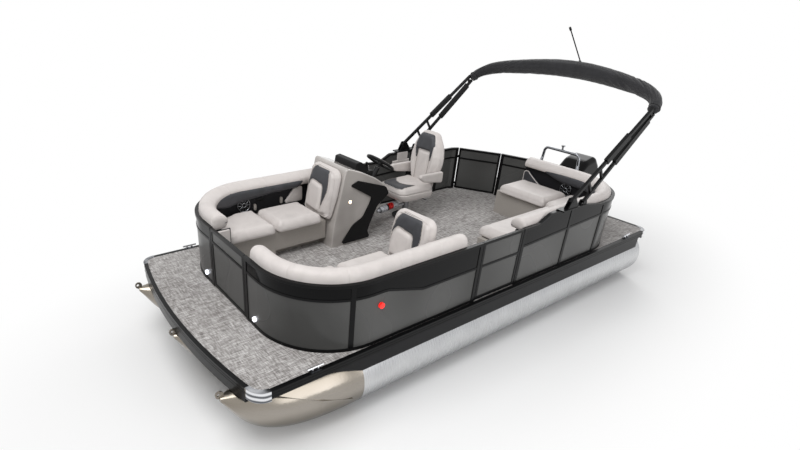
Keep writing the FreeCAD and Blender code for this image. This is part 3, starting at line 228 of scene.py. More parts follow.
tube_top = 0.635
brush_ring = 1 / 90          # the rings are under a millimetre wide and are drawn 11 mm wide to show
mill_aluminium, tree, shader, place = new_material("brushed_mill_aluminium", "b4b6b9", 0.30, 1.0)
brushing = add(tree, "ShaderNodeMapping", {"Vector": place, "Scale": (1 / brush_ring, 1.2, 1.2)})
brushing = add(tree, "ShaderNodeTexNoise", {"Vector": brushing.outputs[0], "Scale": 1.0, "Detail": 4.0})
waves = add(tree, "ShaderNodeMapping", {"Vector": place, "Scale": (2.6, 1.0, 3.0)})
waves = add(tree, "ShaderNodeTexNoise", {"Vector": waves.outputs[0], "Scale": 1.6, "Detail": 1.0})
rough = add(tree, "ShaderNodeMapRange", {"Value": brushing.outputs[0], "To Min": 0.16, "To Max": 0.40})
tree.links.new(rough.outputs[0], shader.inputs["Roughness"])
fine = add(tree, "ShaderNodeMath", {0: brushing.outputs[0], 1: 0.05}, operation="MULTIPLY")
height = add(tree, "ShaderNodeMath", {0: fine.outputs[0], 1: waves.outputs[0]}, operation="ADD")
bump = add(tree, "ShaderNodeBump", {"Height": height.outputs[0], "Strength": 0.12, "Distance": 0.02})
tree.links.new(bump.outputs[0], shader.inputs["Normal"])
# Painted reflection and shade: bands up the tube's height, dark low down, light over the middle and dark
# under the deck.
painted_upright_light(tree, shader, waves.outputs[0], place, tube_top,
              ("6c6d6f", "a5a6a8", "cfd0d1", "b2b3b5", "5c5d5f"))
dress(mill_aluminium, "tubes", "cross_members", "motor_pod")

# Nose cones: pressed aluminium halves, buffed before a clear coat of a faint warm grey, with a welded spray
# strake of bare sheet on the outer side of each outboard tube. A band of painted highlight runs round their
# middle, with painted shade above and below it.
nose_coat, tree, shader, place = new_material("coated_nose_aluminium", "9a948a", 0.24, 1.0)
source = texture(tree, shader, place, 4.0, 0.006, (0.14, 0.26), (0.7, 1, 1.6), 0.3, 1.0)
nose_top = 0.70
# Painted highlight and shade: a light band at mid height between darker bands.
painted_upright_light(tree, shader, source, place, nose_top, ("5c5852", "777168", "a19b93", "8d867c", "6b665f"))
dress(nose_coat, "nose_cones")

# Side skirts: folded aluminium sheet, riveted under the rail, in satin black enamel whose faint orange peel
# spreads the light along it
skirt_paint, tree, shader, place = new_material("skirt_enamel", "131315", 0.34, Specular_IOR_Level=0.15)
texture(tree, shader, place, 90.0, 0.002, (0.28, 0.42), (0.4, 1, 1))
dress(skirt_paint, "side_skirts")

# Rub rails, fence tubes and canopy arms: extruded aluminium under black powder coat, whose fine orange peel
# breaks up the highlights
powder_coat, tree, shader, place = new_material("black_powder_coat", "09090a", 0.28, Specular_IOR_Level=0.14)
texture(tree, shader, place, 420.0, 0.001, (0.22, 0.36), strength=0.10)
dress(powder_coat, "rub_rails", "fence_starboard", "fence_bow_port", "fence_aft_port", "bow_gate_frame",
      "port_gate_frame", "stern_gate_frame", "canopy_mounts", "canopy_frame")

# Corner castings and cleats: cast aluminium and steel, bolted over the rails' joints and polished by hand.
# The polishing leaves a soft ripple in the surface, and wavy light and dark bands of painted reflection run
# up their colour.
polished_metal, tree, shader, place = new_material("polished_casting", "c4c5c8", 0.12, 1.0)
source = texture(tree, shader, place, 9.0, 0.004, (0.06, 0.16), strength=0.3, detail=1.0)
painted_reflection_ridges = add(tree, "ShaderNodeTexWave", {"Vector": place, "Scale": 7.0, "Distortion": 1.5, "Detail": 1.0},
             bands_direction="Z")
# Painted reflection: wavy light and dark bands up the height, in the base colour.
blotched(tree, shader, painted_reflection_ridges.outputs["Fac"], "64666a", "e4e5e8", 0.15, 0.75)
dress(polished_metal, "corner_castings", "cleats")

# Tow bar and seat post: drawn stainless tube, bent and welded to its feet, with a darker, even shine along
# its length. The light staff is a thin tube under satin black enamel.
drawn_steel, tree, shader, place = new_material("drawn_stainless", "8b8d91", 0.16, 1.0)
source = texture(tree, shader, place, 14.0, 0.003, (0.10, 0.24), (1, 1, 12))
blotched(tree, shader, source, "6d6f73", "a3a5a9")
dress(drawn_steel, "tow_hoop", "chair_pedestal")
staff_black, tree, shader, place = new_material("black_light_staff", "0c0c0d", 0.35, Specular_IOR_Level=0.3)
texture(tree, shader, place, 200.0, 0.0005, (0.28, 0.42))
dress(staff_black, "light_staff")

# Flooring: woven vinyl, warm grey with pale and brown threads. The thread is 2 mm wide and is drawn 9 mm
# wide so that it still shows at the render's size.
thread = 0.009
woven_vinyl, tree, shader, place = new_material("woven_vinyl_floor", "a39b96", 0.85, Specular_IOR_Level=0.25)
warp = add(tree, "ShaderNodeMapping", {"Vector": place, "Scale": (0.10 / thread, 1.0 / thread, 1.0)})
weft = add(tree, "ShaderNodeMapping", {"Vector": place, "Scale": (1.0 / thread, 0.12 / thread, 1.0)})
warp_tone = add(tree, "ShaderNodeTexNoise",
                {"Vector": warp.outputs[0], "Scale": 1.0, "Detail": 2.0, "Roughness": 0.7})
weft_tone = add(tree, "ShaderNodeTexNoise",
                {"Vector": weft.outputs[0], "Scale": 1.0, "Detail": 2.0, "Roughness": 0.7})
blend = add(tree, "ShaderNodeMath", {0: warp_tone.outputs[0], 1: weft_tone.outputs[0]}, operation="ADD")
patch = add(tree, "ShaderNodeTexNoise", {"Vector": place, "Scale": 2.2, "Detail": 2.0})
tone = add(tree, "ShaderNodeMath", {0: patch.outputs[0], 1: 0.22}, operation="MULTIPLY")
tone = add(tree, "ShaderNodeMath", {0: blend.outputs[0], 1: tone.outputs[0]}, operation="ADD")
tone = add(tree, "ShaderNodeMapRange", {"Value": tone.outputs[0], "From Min": 0.75, "From Max": 1.45})
ramp = add(tree, "ShaderNodeValToRGB", {"Fac": tone.outputs[0]})
stops = ramp.color_ramp.elements
stops[0].color = paint("686462")
stops[1].color = paint("dad8d7")
for spot, hexa in ((0.35, "8d8987"), (0.62, "adaaa8")):
    stops.new(spot).color = paint(hexa)
tree.links.new(ramp.outputs[0], shader.inputs["Base Color"])
bump = add(tree, "ShaderNodeBump", {"Height": blend.outputs[0], "Strength": 0.35, "Distance": 0.002})
tree.links.new(bump.outputs[0], shader.inputs["Normal"])
dress(woven_vinyl, "flooring", "deck")

# Fence panels: flat aluminium sheet in satin charcoal enamel below the divider and gloss black above it.
# The sheet is a little wavy between its rivets, which shows in the reflections.
charcoal_enamel, tree, shader, place = new_material("charcoal_enamel", "3e3e41", 0.26,
                                                    Specular_IOR_Level=0.22)
source = texture(tree, shader, place, 1.6, 0.004, (0.20, 0.32), strength=0.2, detail=0.0)
blotched(tree, shader, source, "454544", "565655", 0.3, 0.7)
dress(charcoal_enamel, "fence_panels", "bow_gate_panels", "port_gate_panels", "stern_gate_panels")
gloss_black, tree, shader, place = new_material("gloss_black_enamel", "050506", 0.08, Specular_IOR_Level=0.12)
texture(tree, shader, place, 1.6, 0.004, (0.05, 0.12), strength=0.2, detail=0.0)
dress(gloss_black, "fence_bands", "motor_cowl")

# Furniture shells: rotation-moulded polyethylene with a fine pebble texture, light under the seats and
# charcoal behind the cushions
moulded_light, tree, shader, place = new_material("moulded_polyethylene_grey", "a39e98", 0.62)
source = texture(tree, shader, place, 260.0, 0.001, (0.55, 0.72))
blotched(tree, shader, source, "9b958f", "aaa59f")
dress(moulded_light, "seat_bases_bow", "seat_base_aft")
moulded_dark, tree, shader, place = new_material("moulded_polyethylene_charcoal", "1c1c1e", 0.5,
                                                 Specular_IOR_Level=0.15)
source = texture(tree, shader, place, 240.0, 0.001, (0.42, 0.60))
blotched(tree, shader, source, "19191b", "222225")
dress(moulded_dark, "coaming_bow", "coaming_aft")

# Helm console: gelcoated glass fibre, warm grey and glossy, laid up by hand so that the gloss waves a little.
# Its trim, the wheel and the motor's leg are black moulded ABS with a fine grain.
gelcoat, tree, shader, place = new_material("grey_gelcoat", "aca7a3", 0.14, Coat_Weight=0.4,
                                            Coat_Roughness=0.05)
source = texture(tree, shader, place, 3.5, 0.010, (0.10, 0.22), strength=0.4, detail=1.0)
blotched(tree, shader, source, "a5a09c", "b6b1ad")
dress(gelcoat, "console")
black_abs, tree, shader, place = new_material("black_abs", "0f0f10", 0.42, Specular_IOR_Level=0.2)
texture(tree, shader, place, 300.0, 0.0006, (0.34, 0.52))
dress(black_abs, "console_side_panel", "dash_hood", "steering_wheel", "motor_clamp", "motor_swivel",
      "motor_leg")

# Propeller: investment-cast stainless, ground and polished, which gives it a colder sheen than the castings.
# It turns on its splined shaft behind the gearcase.
prop_steel, tree, shader, place = new_material("propeller_stainless", "9ba3b0", 0.18, 1.0)
source = texture(tree, shader, place, 30.0, 0.003, (0.12, 0.26))
blotched(tree, shader, source, "7f8796", "b4bbc8")
dress(prop_steel, "propeller")

# Lamps: moulded clear lenses over white light-emitting diodes at the bow, pushed into the fence panels, and a
# red lens to port and a green one to starboard. The ribs inside show as bands of brighter light.
lens_white, tree, shader, place = new_material("lit_white_lens", "f4f6ff", 0.2)
spots = add(tree, "ShaderNodeTexVoronoi", {"Vector": place, "Scale": 70.0})
glow = add(tree, "ShaderNodeMapRange", {"Value": spots.outputs["Distance"], "To Min": 5.0, "To Max": 1.2})
tree.links.new(glow.outputs[0], shader.inputs["Emission Strength"])
shader.inputs["Emission Color"].default_value = paint("f2f5ff")
dress(lens_white, "docking_lights")
sidelight, tree, shader, place = new_material("lit_coloured_lens", "c01512", 0.15)
across_boat = add(tree, "ShaderNodeSeparateXYZ", {"Vector": place})
port_side = add(tree, "ShaderNodeMath", {0: across_boat.outputs["Y"], 1: 0.0}, operation="GREATER_THAN")
ramp = add(tree, "ShaderNodeValToRGB", {"Fac": port_side.outputs[0]})
ramp.color_ramp.elements[0].color = paint("0f9a3c")
ramp.color_ramp.elements[1].color = paint("e01d16")
tree.links.new(ramp.outputs[0], shader.inputs["Base Color"])
tree.links.new(ramp.outputs[0], shader.inputs["Emission Color"])
ribs = add(tree, "ShaderNodeTexWave", {"Vector": place, "Scale": 60.0}, bands_direction="Z")
glow = add(tree, "ShaderNodeMapRange", {"Value": ribs.outputs["Fac"], "To Min": 0.5, "To Max": 1.6})
tree.links.new(glow.outputs[0], shader.inputs["Emission Strength"])
dress(sidelight, "side_lights")

# Upholstery: marine vinyl over foam, light grey-beige with a fine leather grain pressed 1.5 mm wide, drawn
# 4 mm wide to show, and slow hand-pulled wrinkles. The darker vinyl is the same cloth in charcoal. Both are
# painted a little darker in the wrinkles' hollows as shade.
pore = 0.004


def vinyl(name, colour, wrinkle_shade):
    """Grained vinyl, painted a little darker in its wrinkles' hollows as shade."""
    material, tree, shader, place = new_material(name, colour, 0.46, Specular_IOR_Level=0.35)
    pores = add(tree, "ShaderNodeTexVoronoi", {"Vector": place, "Scale": 1.0 / pore},
                feature="DISTANCE_TO_EDGE")
    wrinkle_height_and_shade = add(tree, "ShaderNodeTexNoise", {"Vector": place, "Scale": 9.0, "Detail": 3.0, "Distortion": 0.6})
    fine = add(tree, "ShaderNodeMath", {0: pores.outputs["Distance"], 1: 0.05}, operation="MULTIPLY")
    height = add(tree, "ShaderNodeMath", {0: fine.outputs[0], 1: wrinkle_height_and_shade.outputs[0]}, operation="ADD")
    bump = add(tree, "ShaderNodeBump", {"Height": height.outputs[0], "Strength": 0.22, "Distance": 0.012})
    tree.links.new(bump.outputs[0], shader.inputs["Normal"])
    # Painted shade: the colour darkens where the wrinkles sink.
    blotched(tree, shader, wrinkle_height_and_shade.outputs[0], wrinkle_shade, colour, 0.25, 0.62)
    return material


# The second colour of each vinyl is the painted shade in its wrinkles' hollows.
light_vinyl = vinyl("light_marine_vinyl", "d0cac7", "c8c2bf")
charcoal_vinyl = vinyl("charcoal_marine_vinyl", "434448", "38393c")
seam_thread, tree, shader, place = new_material("seam_thread", "8d8780", 0.7)
source = texture(tree, shader, place, 260.0, 0.0008, (0.6, 0.8), strength=0.4)
blotched(tree, shader, source, "7d776f", "9a948d")
# A near-black line for the painted shadow under the headrest's step, drawn as a thin tube.
step_shadow_black, tree, shader, place = new_material("black_step_shadow_line", "1d1d1f", 0.5)
source = texture(tree, shader, place, 180.0, 0.0008, (0.4, 0.6), strength=0.4)
blotched(tree, shader, source, "161618", "262628")


def round_corners(points, radii, step=0.03, closed=False, limit=0.49):
    """Points along straight runs with arcs of the given radii, each up to a share of its corner's sides."""
    count = len(points)
    inner = range(count) if closed else range(1, count - 1)
    if not isinstance(radii, (list, tuple)):
        radii = [radii] * len(inner)
    result = [] if closed else [Vector(points[0])]
    for i, radius in zip(inner, radii):
        corner = Vector(points[i])
        before = Vector(points[i - 1]) - corner
        after = Vector(points[(i + 1) % count]) - corner
        half = before.angle(after) / 2
        reach = min(radius / math.tan(half), limit * before.length, limit * after.length)
        radius = reach * math.tan(half)
        middle = corner + (before.normalized() + after.normalized()).normalized() * (radius / math.sin(half))
        start, end = corner + before.normalized() * reach, corner + after.normalized() * reach
        turn = math.pi - 2 * half
        pieces = max(2, int(turn * radius / step) + 1)
        one, other = start - middle, end - middle
        for k in range(pieces + 1):
            share = k / pieces
            away = one.lerp(other, share)
            away = away.normalized() * radius if away.length > 1e-9 else one
            result.append(middle + away)
    if not closed:
        result.append(Vector(points[-1]))
    dense = []
    loop = result + result[:1] if closed else result
    for a, b in zip(loop, loop[1:]):
        parts = max(1, int((b - a).length / step))
        dense += [a.lerp(b, k / parts) for k in range(parts)]
    if not closed:
        dense.append(loop[-1])
    return dense


def between(p, f):
    """A Catmull-Rom point between the second and the third of four points."""
    return 0.5 * (2 * p[1] + (p[2] - p[0]) * f + (2 * p[0] - 5 * p[1] + 4 * p[2] - p[3]) * f * f
                  + (3 * p[1] - p[0] - 3 * p[2] + p[3]) * f ** 3)


def smooth_ring(points, count):
    """A closed Catmull-Rom curve through the points."""
    n = len(points)
    ring = []
    for k in range(count):
        t = k * n / count
        i = int(t)
        ring.append(between([Vector(points[(i + d) % n]) for d in (-1, 0, 1, 2)], t - i))
    return ring


def loft_faces(rings, around):
    """Faces between rings of points that follow one another, and over both ends."""
    faces = []
    for j in range(rings - 1):
        first, second = j * around, (j + 1) * around
        faces += [(first + k, first + (k + 1) % around, second + (k + 1) % around, second + k)
                  for k in range(around)]
    return faces + [tuple(range(around)), tuple(range((rings - 1) * around, rings * around))]


def sweep(name, path, ring_at, material, seams=(), side=1):
    """A closed section carried along a plan path; (inset, height) with inset to the path's left."""
    slices, round_end, seam_dip, seam_wide = 90, 0.03, 0.05, 0.006
    lengths = [0.0]
    for a, b in zip(path, path[1:]):
        lengths.append(lengths[-1] + (b - a).length)
    total = lengths[-1]
    stops = [total * k / slices for k in range(slices + 1)]
    stops += [d + e for d in seams for e in (-0.012, -0.005, 0, 0.005, 0.012)]
    for k in range(6):
        curl = round_end * (1 - math.cos(k * math.pi / 10))
        stops += [curl, total - curl]
    stops = [s for s in sorted(set(round(s, 4) for s in stops)) if 0 <= s <= total]
    points = []
    for s in stops:
        i = max(k for k in range(len(lengths) - 1) if lengths[k] <= s + 1e-9)
        share = (s - lengths[i]) / max(1e-9, lengths[i + 1] - lengths[i])
        spot = path[i].lerp(path[i + 1], share)
        before, after = path[max(0, i - 1)], path[min(len(path) - 1, i + 2)]
        ahead = ((path[i + 1] - before).normalized().lerp((after - path[i]).normalized(), share)).normalized()
        left = Vector((-ahead.y, ahead.x))
        ring = ring_at(s)
        centre = sum(ring, Vector((0, 0))) / len(ring)
        near = min(s, total - s)
        fit = math.sqrt(max(0.0, 1 - (1 - min(1.0, near / round_end)) ** 2)) * 0.85 + 0.15
        for d in seams:
            fit *= 1 - seam_dip * math.exp(-((s - d) / seam_wide) ** 2)
        for p in ring:
            q = centre + (p - centre) * fit
            points.append((spot.x + left.x * q.x, side * (spot.y + left.y * q.x), q.y))
    return make_piece(name, points, loft_faces(len(stops), len(ring)), material)


def tube(name, points, radius, material, body="hull and deck", closed=False):
    """A round bar, piping or thread through points measured from the deck's middle."""
    curve = bpy.data.curves.new(name, "CURVE")
    curve.dimensions = "3D"
    spline = curve.splines.new("POLY")
    spline.points.add(len(points) - 1)
    for slot, p in zip(spline.points, points):
        slot.co = (p[0] + mid, p[1], p[2], 1)
    spline.use_cyclic_u = closed
    curve.bevel_depth = radius
    curve.bevel_resolution = 3
    curve.use_fill_caps = not closed
    curve.materials.append(material)
    piece = bpy.data.objects.new(name, curve)
    bpy.context.collection.objects.link(piece)
    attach(piece, body)
    return piece


# Bolsters: foam rolls on the coamings' tops, covered in light vinyl with seams across every half metre, and
# a charcoal vinyl strip under each one's inner side that narrows to a point at both ends.
fence_bow, fence_side, fence_stern, fence_corner = 2.465, 1.252, -2.300, 0.700
deck_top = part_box("flooring")[1].z
roll_section = [(0.040, 0.570), (0.037, 0.640), (0.050, 0.693), (0.085, 0.718), (0.130, 0.717),
                (0.172, 0.697), (0.200, 0.668), (0.207, 0.642), (0.200, 0.610), (0.170, 0.572)]
strip_section = [(0.150, 0.505), (0.176, 0.500), (0.202, 0.520), (0.215, 0.560), (0.218, 0.600),
                 (0.212, 0.634), (0.195, 0.646), (0.165, 0.628), (0.150, 0.57)]
strip_back, strip_top = 0.150, 0.634
bow_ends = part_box("bolsters_bow")
bow_run = round_corners([(fence_bow, 0.362), (fence_bow, fence_side),
                         (bow_ends[0].x - mid + 0.002, fence_side)], [fence_corner], limit=0.98)


def roll_ring(lift):
    """The roll's section, the same all along, with its upper part lifted."""
    ring = smooth_ring([(a, deck_top + b + (lift if b > 0.6 else 0)) for a, b in roll_section], 30)
    return lambda s: ring


def strip_ring(start, finish, ramp, depths, lift=0.0):
    """The strip's section along its run: it swells over a ramp at each end, to a changing depth."""
    def ring(s):
        share = max(0.0, min(1.0, (s - start) / ramp[0])) * max(0.0, min(1.0, (finish - s) / ramp[1]))
        share = 0.06 + 0.94 * math.sin(share * math.pi / 2)
        before = [d for d in depths if d[0] <= s] or depths[:1]
        after = [d for d in depths if d[0] > s] or depths[-1:]
        reach = (s - before[-1][0]) / max(1e-6, after[0][0] - before[-1][0])
        depth = before[-1][1] + (after[0][1] - before[-1][1]) * max(0.0, min(1.0, reach))
        top = deck_top + lift + strip_top
        return smooth_ring([(strip_back + (a - strip_back) * (0.7 + 0.3 * share),
                             top - (strip_top - b) * share * depth) for a, b in strip_section], 20)
    return ring


bow_strip_end = 2.090
for side, name in ((1, "port"), (-1, "starboard")):
    roll = sweep("bolster_bow_" + name, bow_run, roll_ring(0.0), light_vinyl, [0.52, 1.05, 1.58, 2.05],
                 side=side)
    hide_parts("bolsters_bow")
    section = strip_ring(0.55, bow_strip_end, (0.55, 0.10), [(1.06, 1.14), (1.65, 0.70), (2.10, 0.58)])
    strip = sweep("bolster_strip_bow_" + name, bow_run, section, charcoal_vinyl, side=side)
aft_low, aft_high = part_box("bolster_aft")
aft_drop = -0.030
aft_run = round_corners([(aft_high.x - mid - 0.002, fence_side), (fence_stern, fence_side),
                         (fence_stern, aft_low.y + 0.002)], [fence_corner], limit=0.98)
roll = sweep("bolster_aft_roll", aft_run, roll_ring(aft_drop), light_vinyl, [0.7, 1.4, 2.2, 2.75])
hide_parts("bolster_aft")
section = strip_ring(1.60, 3.06, (0.5, 0.42), [(1.60, 0.8)], aft_drop)
strip = sweep("bolster_strip_aft", aft_run, section, charcoal_vinyl)

# Seat cushions: foam on a board under stitched vinyl, crowned by the foam's push. Each starts as a rounded
# block, and a short cloth simulation under air pressure fills it out.
pad_voxel = 0.014


def counter_clockwise(ring):
    """A closed outline, turned round if it runs clockwise."""
    area = sum(a.x * b.y - b.x * a.y for a, b in zip(ring, ring[1:] + ring[:1]))
    return ring if area > 0 else ring[::-1]


def offset_ring(points, inset):
    """A closed counter-clockwise outline moved inwards."""
    n = len(points)
    moved = []
    for i, p in enumerate(points):
        a = (p - points[i - 1]).normalized()
        b = (points[(i + 1) % n] - p).normalized()
        left = Vector((-a.y - b.y, a.x + b.x)).normalized()
        moved.append(p + left * inset / max(0.5, left.dot(Vector((-a.y, a.x)))))
    return moved


def pad(name, outline, radii, thick, place, material, body, nodes, rim=0.042, cap=0.014, voxel=pad_voxel):
    """A cushion: outline in its own plane, thickness along the plane's normal, placed by a matrix."""
    ring = counter_clockwise(round_corners(outline, radii, 0.02, True))
    rim_steps = 6
    turns = [math.pi / 2 * k / rim_steps for k in range(rim_steps + 1)]
    levels = [(0.0, rim * 0.30), (rim * 0.35, 0.0)]
    levels += [(thick - rim + rim * math.sin(t), rim * (1 - math.cos(t))) for t in turns]
    points = []
    for height, inset in levels:
        inset_ring = offset_ring(ring, inset)
        points += [place @ Vector((p.x, p.y, height)) for p in inset_ring]
    cushion = make_piece(name, points, loft_faces(len(levels), len(ring)), material, body)
    plump(cushion, place, thick, cap, voxel)
    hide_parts(*nodes)
    return cushion


def plump(cushion, place, thick, cap, voxel):
    """Fills a pad out with a pressure simulation, its back held, and no point moved more than the cap."""
    pressure, last_frame, held_share = 4.0, 20, 0.3
    bpy.context.view_layer.objects.active = cushion
    remesh = cushion.modifiers.new("remesh", "REMESH")
    remesh.mode = "VOXEL"
    remesh.voxel_size = voxel
    depsgraph = bpy.context.evaluated_depsgraph_get()
    solid = bpy.data.meshes.new_from_object(cushion.evaluated_get(depsgraph))
    cushion.modifiers.clear()
    old = cushion.data
    solid.materials.clear()
    for material in old.materials:
        solid.materials.append(material)
    cushion.data = solid
    for face in solid.polygons:
        face.use_smooth = True
    start = [v.co.copy() for v in solid.vertices]
    shift = Matrix.Translation((mid, 0, 0)) @ place
    inward = shift.inverted()
    hold = cushion.vertex_groups.new(name="hold")
    hold.add([v.index for v in solid.vertices if (inward @ v.co).z < thick * held_share], 1.0, "REPLACE")
    cloth = cushion.modifiers.new("fill", "CLOTH")
    cloth.settings.use_pressure = True
    cloth.settings.uniform_pressure_force = pressure
    cloth.settings.effector_weights.gravity = 0.0
    cloth.settings.vertex_group_mass = "hold"
    cloth.settings.quality = 4
    cloth.point_cache.frame_start = 1
    cloth.point_cache.frame_end = last_frame
    for step in range(1, last_frame + 1):
        scene.frame_set(step)
    filled = cushion.evaluated_get(bpy.context.evaluated_depsgraph_get())
    for v, was, now in zip(solid.vertices, start, [v.co.copy() for v in filled.data.vertices]):
        move = now - was
        if move.length > cap:
            move = move.normalized() * cap
        v.co = was + move
    cushion.modifiers.clear()
    cushion.vertex_groups.clear()
    scene.frame_set(1)
    relax = bmesh.new()
    relax.from_mesh(solid)
    smooth_passes = 3
    for turn in range(smooth_passes):
        bmesh.ops.smooth_vert(relax, verts=relax.verts, factor=0.5, use_axis_x=True, use_axis_y=True,
                              use_axis_z=True)
    relax.to_mesh(solid)
    relax.free()
    finer = cushion.modifiers.new("finer", "SUBSURF")
    finer.levels = 1
    finer.render_levels = 1


seat_under, seat_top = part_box("seat_lid_bow_port")[0].z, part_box("seat_lid_bow_port")[1].z
shrink = 0.006
back_clearance = 0.035
cushion_thick = seat_top - seat_under - shrink
lounge_place = Matrix.Translation((0, 0, seat_under))
for side, name in ((1, "port"), (-1, "starboard")):
    lo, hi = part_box("seat_lid_bow_" + name)
    inner, outer = (lo.y, hi.y) if side > 0 else (hi.y, lo.y)
    x0, x1 = lo.x - mid + shrink, hi.x - mid - shrink
    outline = [(x0, inner + side * shrink), (x1, inner + side * shrink),
               (x1, outer - side * back_clearance), (x0, outer - side * back_clearance)]
    pad("seat_cushion_bow_" + name, outline, 0.05, cushion_thick, lounge_place, light_vinyl,
        "bow " + name + " seat lid", ["seat_lid_bow_" + name])
lo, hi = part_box("seat_lid_aft_port")
x0, x1 = lo.x - mid + shrink, hi.x - mid - shrink
outline = [(x0, lo.y + shrink), (x1, lo.y + shrink), (x1, hi.y - back_clearance), (x0, hi.y - back_clearance)]
pad("seat_cushion_aft_port", outline, 0.05, cushion_thick, lounge_place, light_vinyl, "aft port seat lid",
    ["seat_lid_aft_port"])
lo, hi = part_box("seat_lid_stern")
x0, x1 = lo.x - mid + back_clearance, hi.x - mid - shrink
outline = [(x0, lo.y + shrink), (x1, lo.y + shrink), (x1, hi.y - shrink), (x0, hi.y - shrink)]
pad("seat_cushion_stern", outline, 0.05, cushion_thick, lounge_place, light_vinyl, "stern seat lid",
    ["seat_lid_stern"])

# Corner cushions: the same foam and vinyl on fixed boards, screwed down where the lounges turn and cut to the
# curve of the coaming behind them, with a finger's gap to the seat beside them.
corner_line, bow_front, rear_line, aisle_edge = 1.655, 2.208, 1.055, 0.492
inset = 0.180


def coaming_arc(ahead, angles):
    """The back edge of a corner cushion, round the corner towards the bow (1) or the stern (-1)."""
    turn_x = (fence_bow - fence_corner) if ahead > 0 else (fence_stern + fence_corner)
    turn_y = fence_side - fence_corner
    reach = fence_corner - inset
    return [(turn_x + ahead * reach * math.cos(math.radians(a)), turn_y + reach * math.sin(math.radians(a)))
            for a in angles]


arc = coaming_arc(1, (75, 60, 45, 30, 20))
for side, name in ((1, "port"), (-1, "starboard")):
    outline = [(corner_line, aisle_edge), (bow_front, aisle_edge),
               (bow_front, arc[-1][1])] + arc[::-1] + [(corner_line, rear_line)]
    outline = [(x, side * y) for x, y in outline]
    pad("corner_cushion_bow_" + name, outline, [0.05, 0.06] + [0.02] * 7, cushion_thick, lounge_place,
        light_vinyl, "hull and deck", ["corner_cushions"])

# The aft lounge's fixed cushion turns the corner between the long seat and the stern seat
box_low, box_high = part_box("seat_lid_aft_port")
aft_seat_front = box_low.y
stern_low, stern_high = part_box("seat_lid_stern")
gap = 0.010
arc = coaming_arc(-1, (12, 25, 38, 51, 64, 78))
outline = [(box_low.x - mid - gap, aft_seat_front + shrink),
           (stern_high.x - mid - shrink, aft_seat_front + shrink),
           (stern_high.x - mid - shrink, stern_high.y + gap),
           (stern_low.x - mid + back_clearance, stern_high.y + gap)]
outline += arc + [(box_low.x - mid - gap, box_high.y - back_clearance)]
pad("corner_cushion_aft", outline, [0.02, 0.06, 0.02] + [0.03] + [0.02] * 6 + [0.02], cushion_thick,
    lounge_place, light_vinyl, "hull and deck", ["corner_cushions"])

# Forward backrests: foam on moulded boards, covered in light vinyl. A charcoal panel is sewn in under the
# head and runs down to a point on the inboard side, round a light lumbar pad; every joint is a piped seam.
knee_x, knee_height = 0.967, 0.9532          # a spot on the slanting line that both boards' backs follow
lean = 0.217
lean_angle = math.atan(lean)
board_foot = seat_under


def leaned_place(x, y, z, angle):
    """Plane of a back: first axis to port, second up the lean, third towards the bow."""
    u, v = Vector((0, 1, 0)), Vector((-math.sin(angle), 0, math.cos(angle)))
    w = u.cross(v)
    return Matrix.Translation((x, y, z)) @ Matrix((u, v, w)).transposed().to_4x4()


def surface_of(piece):
    """A search tree over a finished cushion, for laying panels and seams on it."""
    bpy.context.view_layer.update()
    return BVHTree.FromObject(piece, bpy.context.evaluated_depsgraph_get())


def laid(tree, place, u, v, lift):
    """The point above a cushion's face at a place in its plane, from the deck's middle."""
    shift = Matrix.Translation((mid, 0, 0)) @ place
    normal = (shift.to_3x3() @ Vector((0, 0, 1))).normalized()
    far_above, near_face = 0.6, 0.05
    hit = tree.ray_cast(shift @ Vector((u, v, far_above)), -normal)[0]
    if hit is None:
        hit = tree.find_nearest(shift @ Vector((u, v, near_face)))[0]
    spot = hit + normal * lift
    return Vector((spot.x - mid, spot.y, spot.z))


def panel(name, tree, place, outline, material, body, height, edge=0.016, radii=0.02):
    """A sewn-in panel that follows the cushion under it and puffs up inside its seam."""
    grid, sunk = 0.014, 0.002
    ring = round_corners(outline, radii, grid * 0.8, True)
    low = Vector((min(p.x for p in ring), min(p.y for p in ring)))
    high = Vector((max(p.x for p in ring), max(p.y for p in ring)))
    spots = list(ring)
    loop = ring + ring[:1]
    across, along_it = int((high.x - low.x) / grid), int((high.y - low.y) / grid)
    for i in range(1, across):
        for j in range(1, along_it):
            p = low + Vector((i * grid + (j % 2) * grid / 2, j * grid))
            if inside(p, ring) and from_edge(p, loop) > grid * 0.45:
                spots.append(p)
    sides = [(k, (k + 1) % len(ring)) for k in range(len(ring))]
    flat, _, faces, _, _, _ = delaunay_2d_cdt(spots, sides, [list(range(len(ring)))], 1, 1e-6)
    points = []
    for p in flat:
        reach = min(1.0, from_edge(p, loop) / edge)
        points.append(laid(tree, place, p.x, p.y, -sunk + (height + sunk) * math.sin(reach * math.pi / 2)))
    piece = make_piece(name, points, faces, material, body)
    return piece


def inside(p, ring):
    """Whether a point lies within a closed outline."""
    odd = False
    for a, b in zip(ring, ring[1:] + ring[:1]):
        if (a.y > p.y) != (b.y > p.y) and p.x < (b.x - a.x) * (p.y - a.y) / (b.y - a.y) + a.x:
            odd = not odd
    return odd


def from_edge(p, loop):
    """A point's distance from the nearest side of an outline."""
    best = 1.0
    for a, b in zip(loop, loop[1:]):
        along_side = b - a
        share = max(0.0, min(1.0, (p - a).dot(along_side) / max(1e-12, along_side.length_squared)))
        best = min(best, (p - a - along_side * share).length)
    return best


def seam(name, tree, place, points, material, body, radius=0.0025, lift=0.0005, radii=0.02, closed=False,
         step=0.012):
    """A piped or stitched seam along a cushion's face."""
    run = round_corners(points, radii, step, closed)
    return tube(name, [laid(tree, place, p.x, p.y, lift) for p in run], radius, material, body, closed)


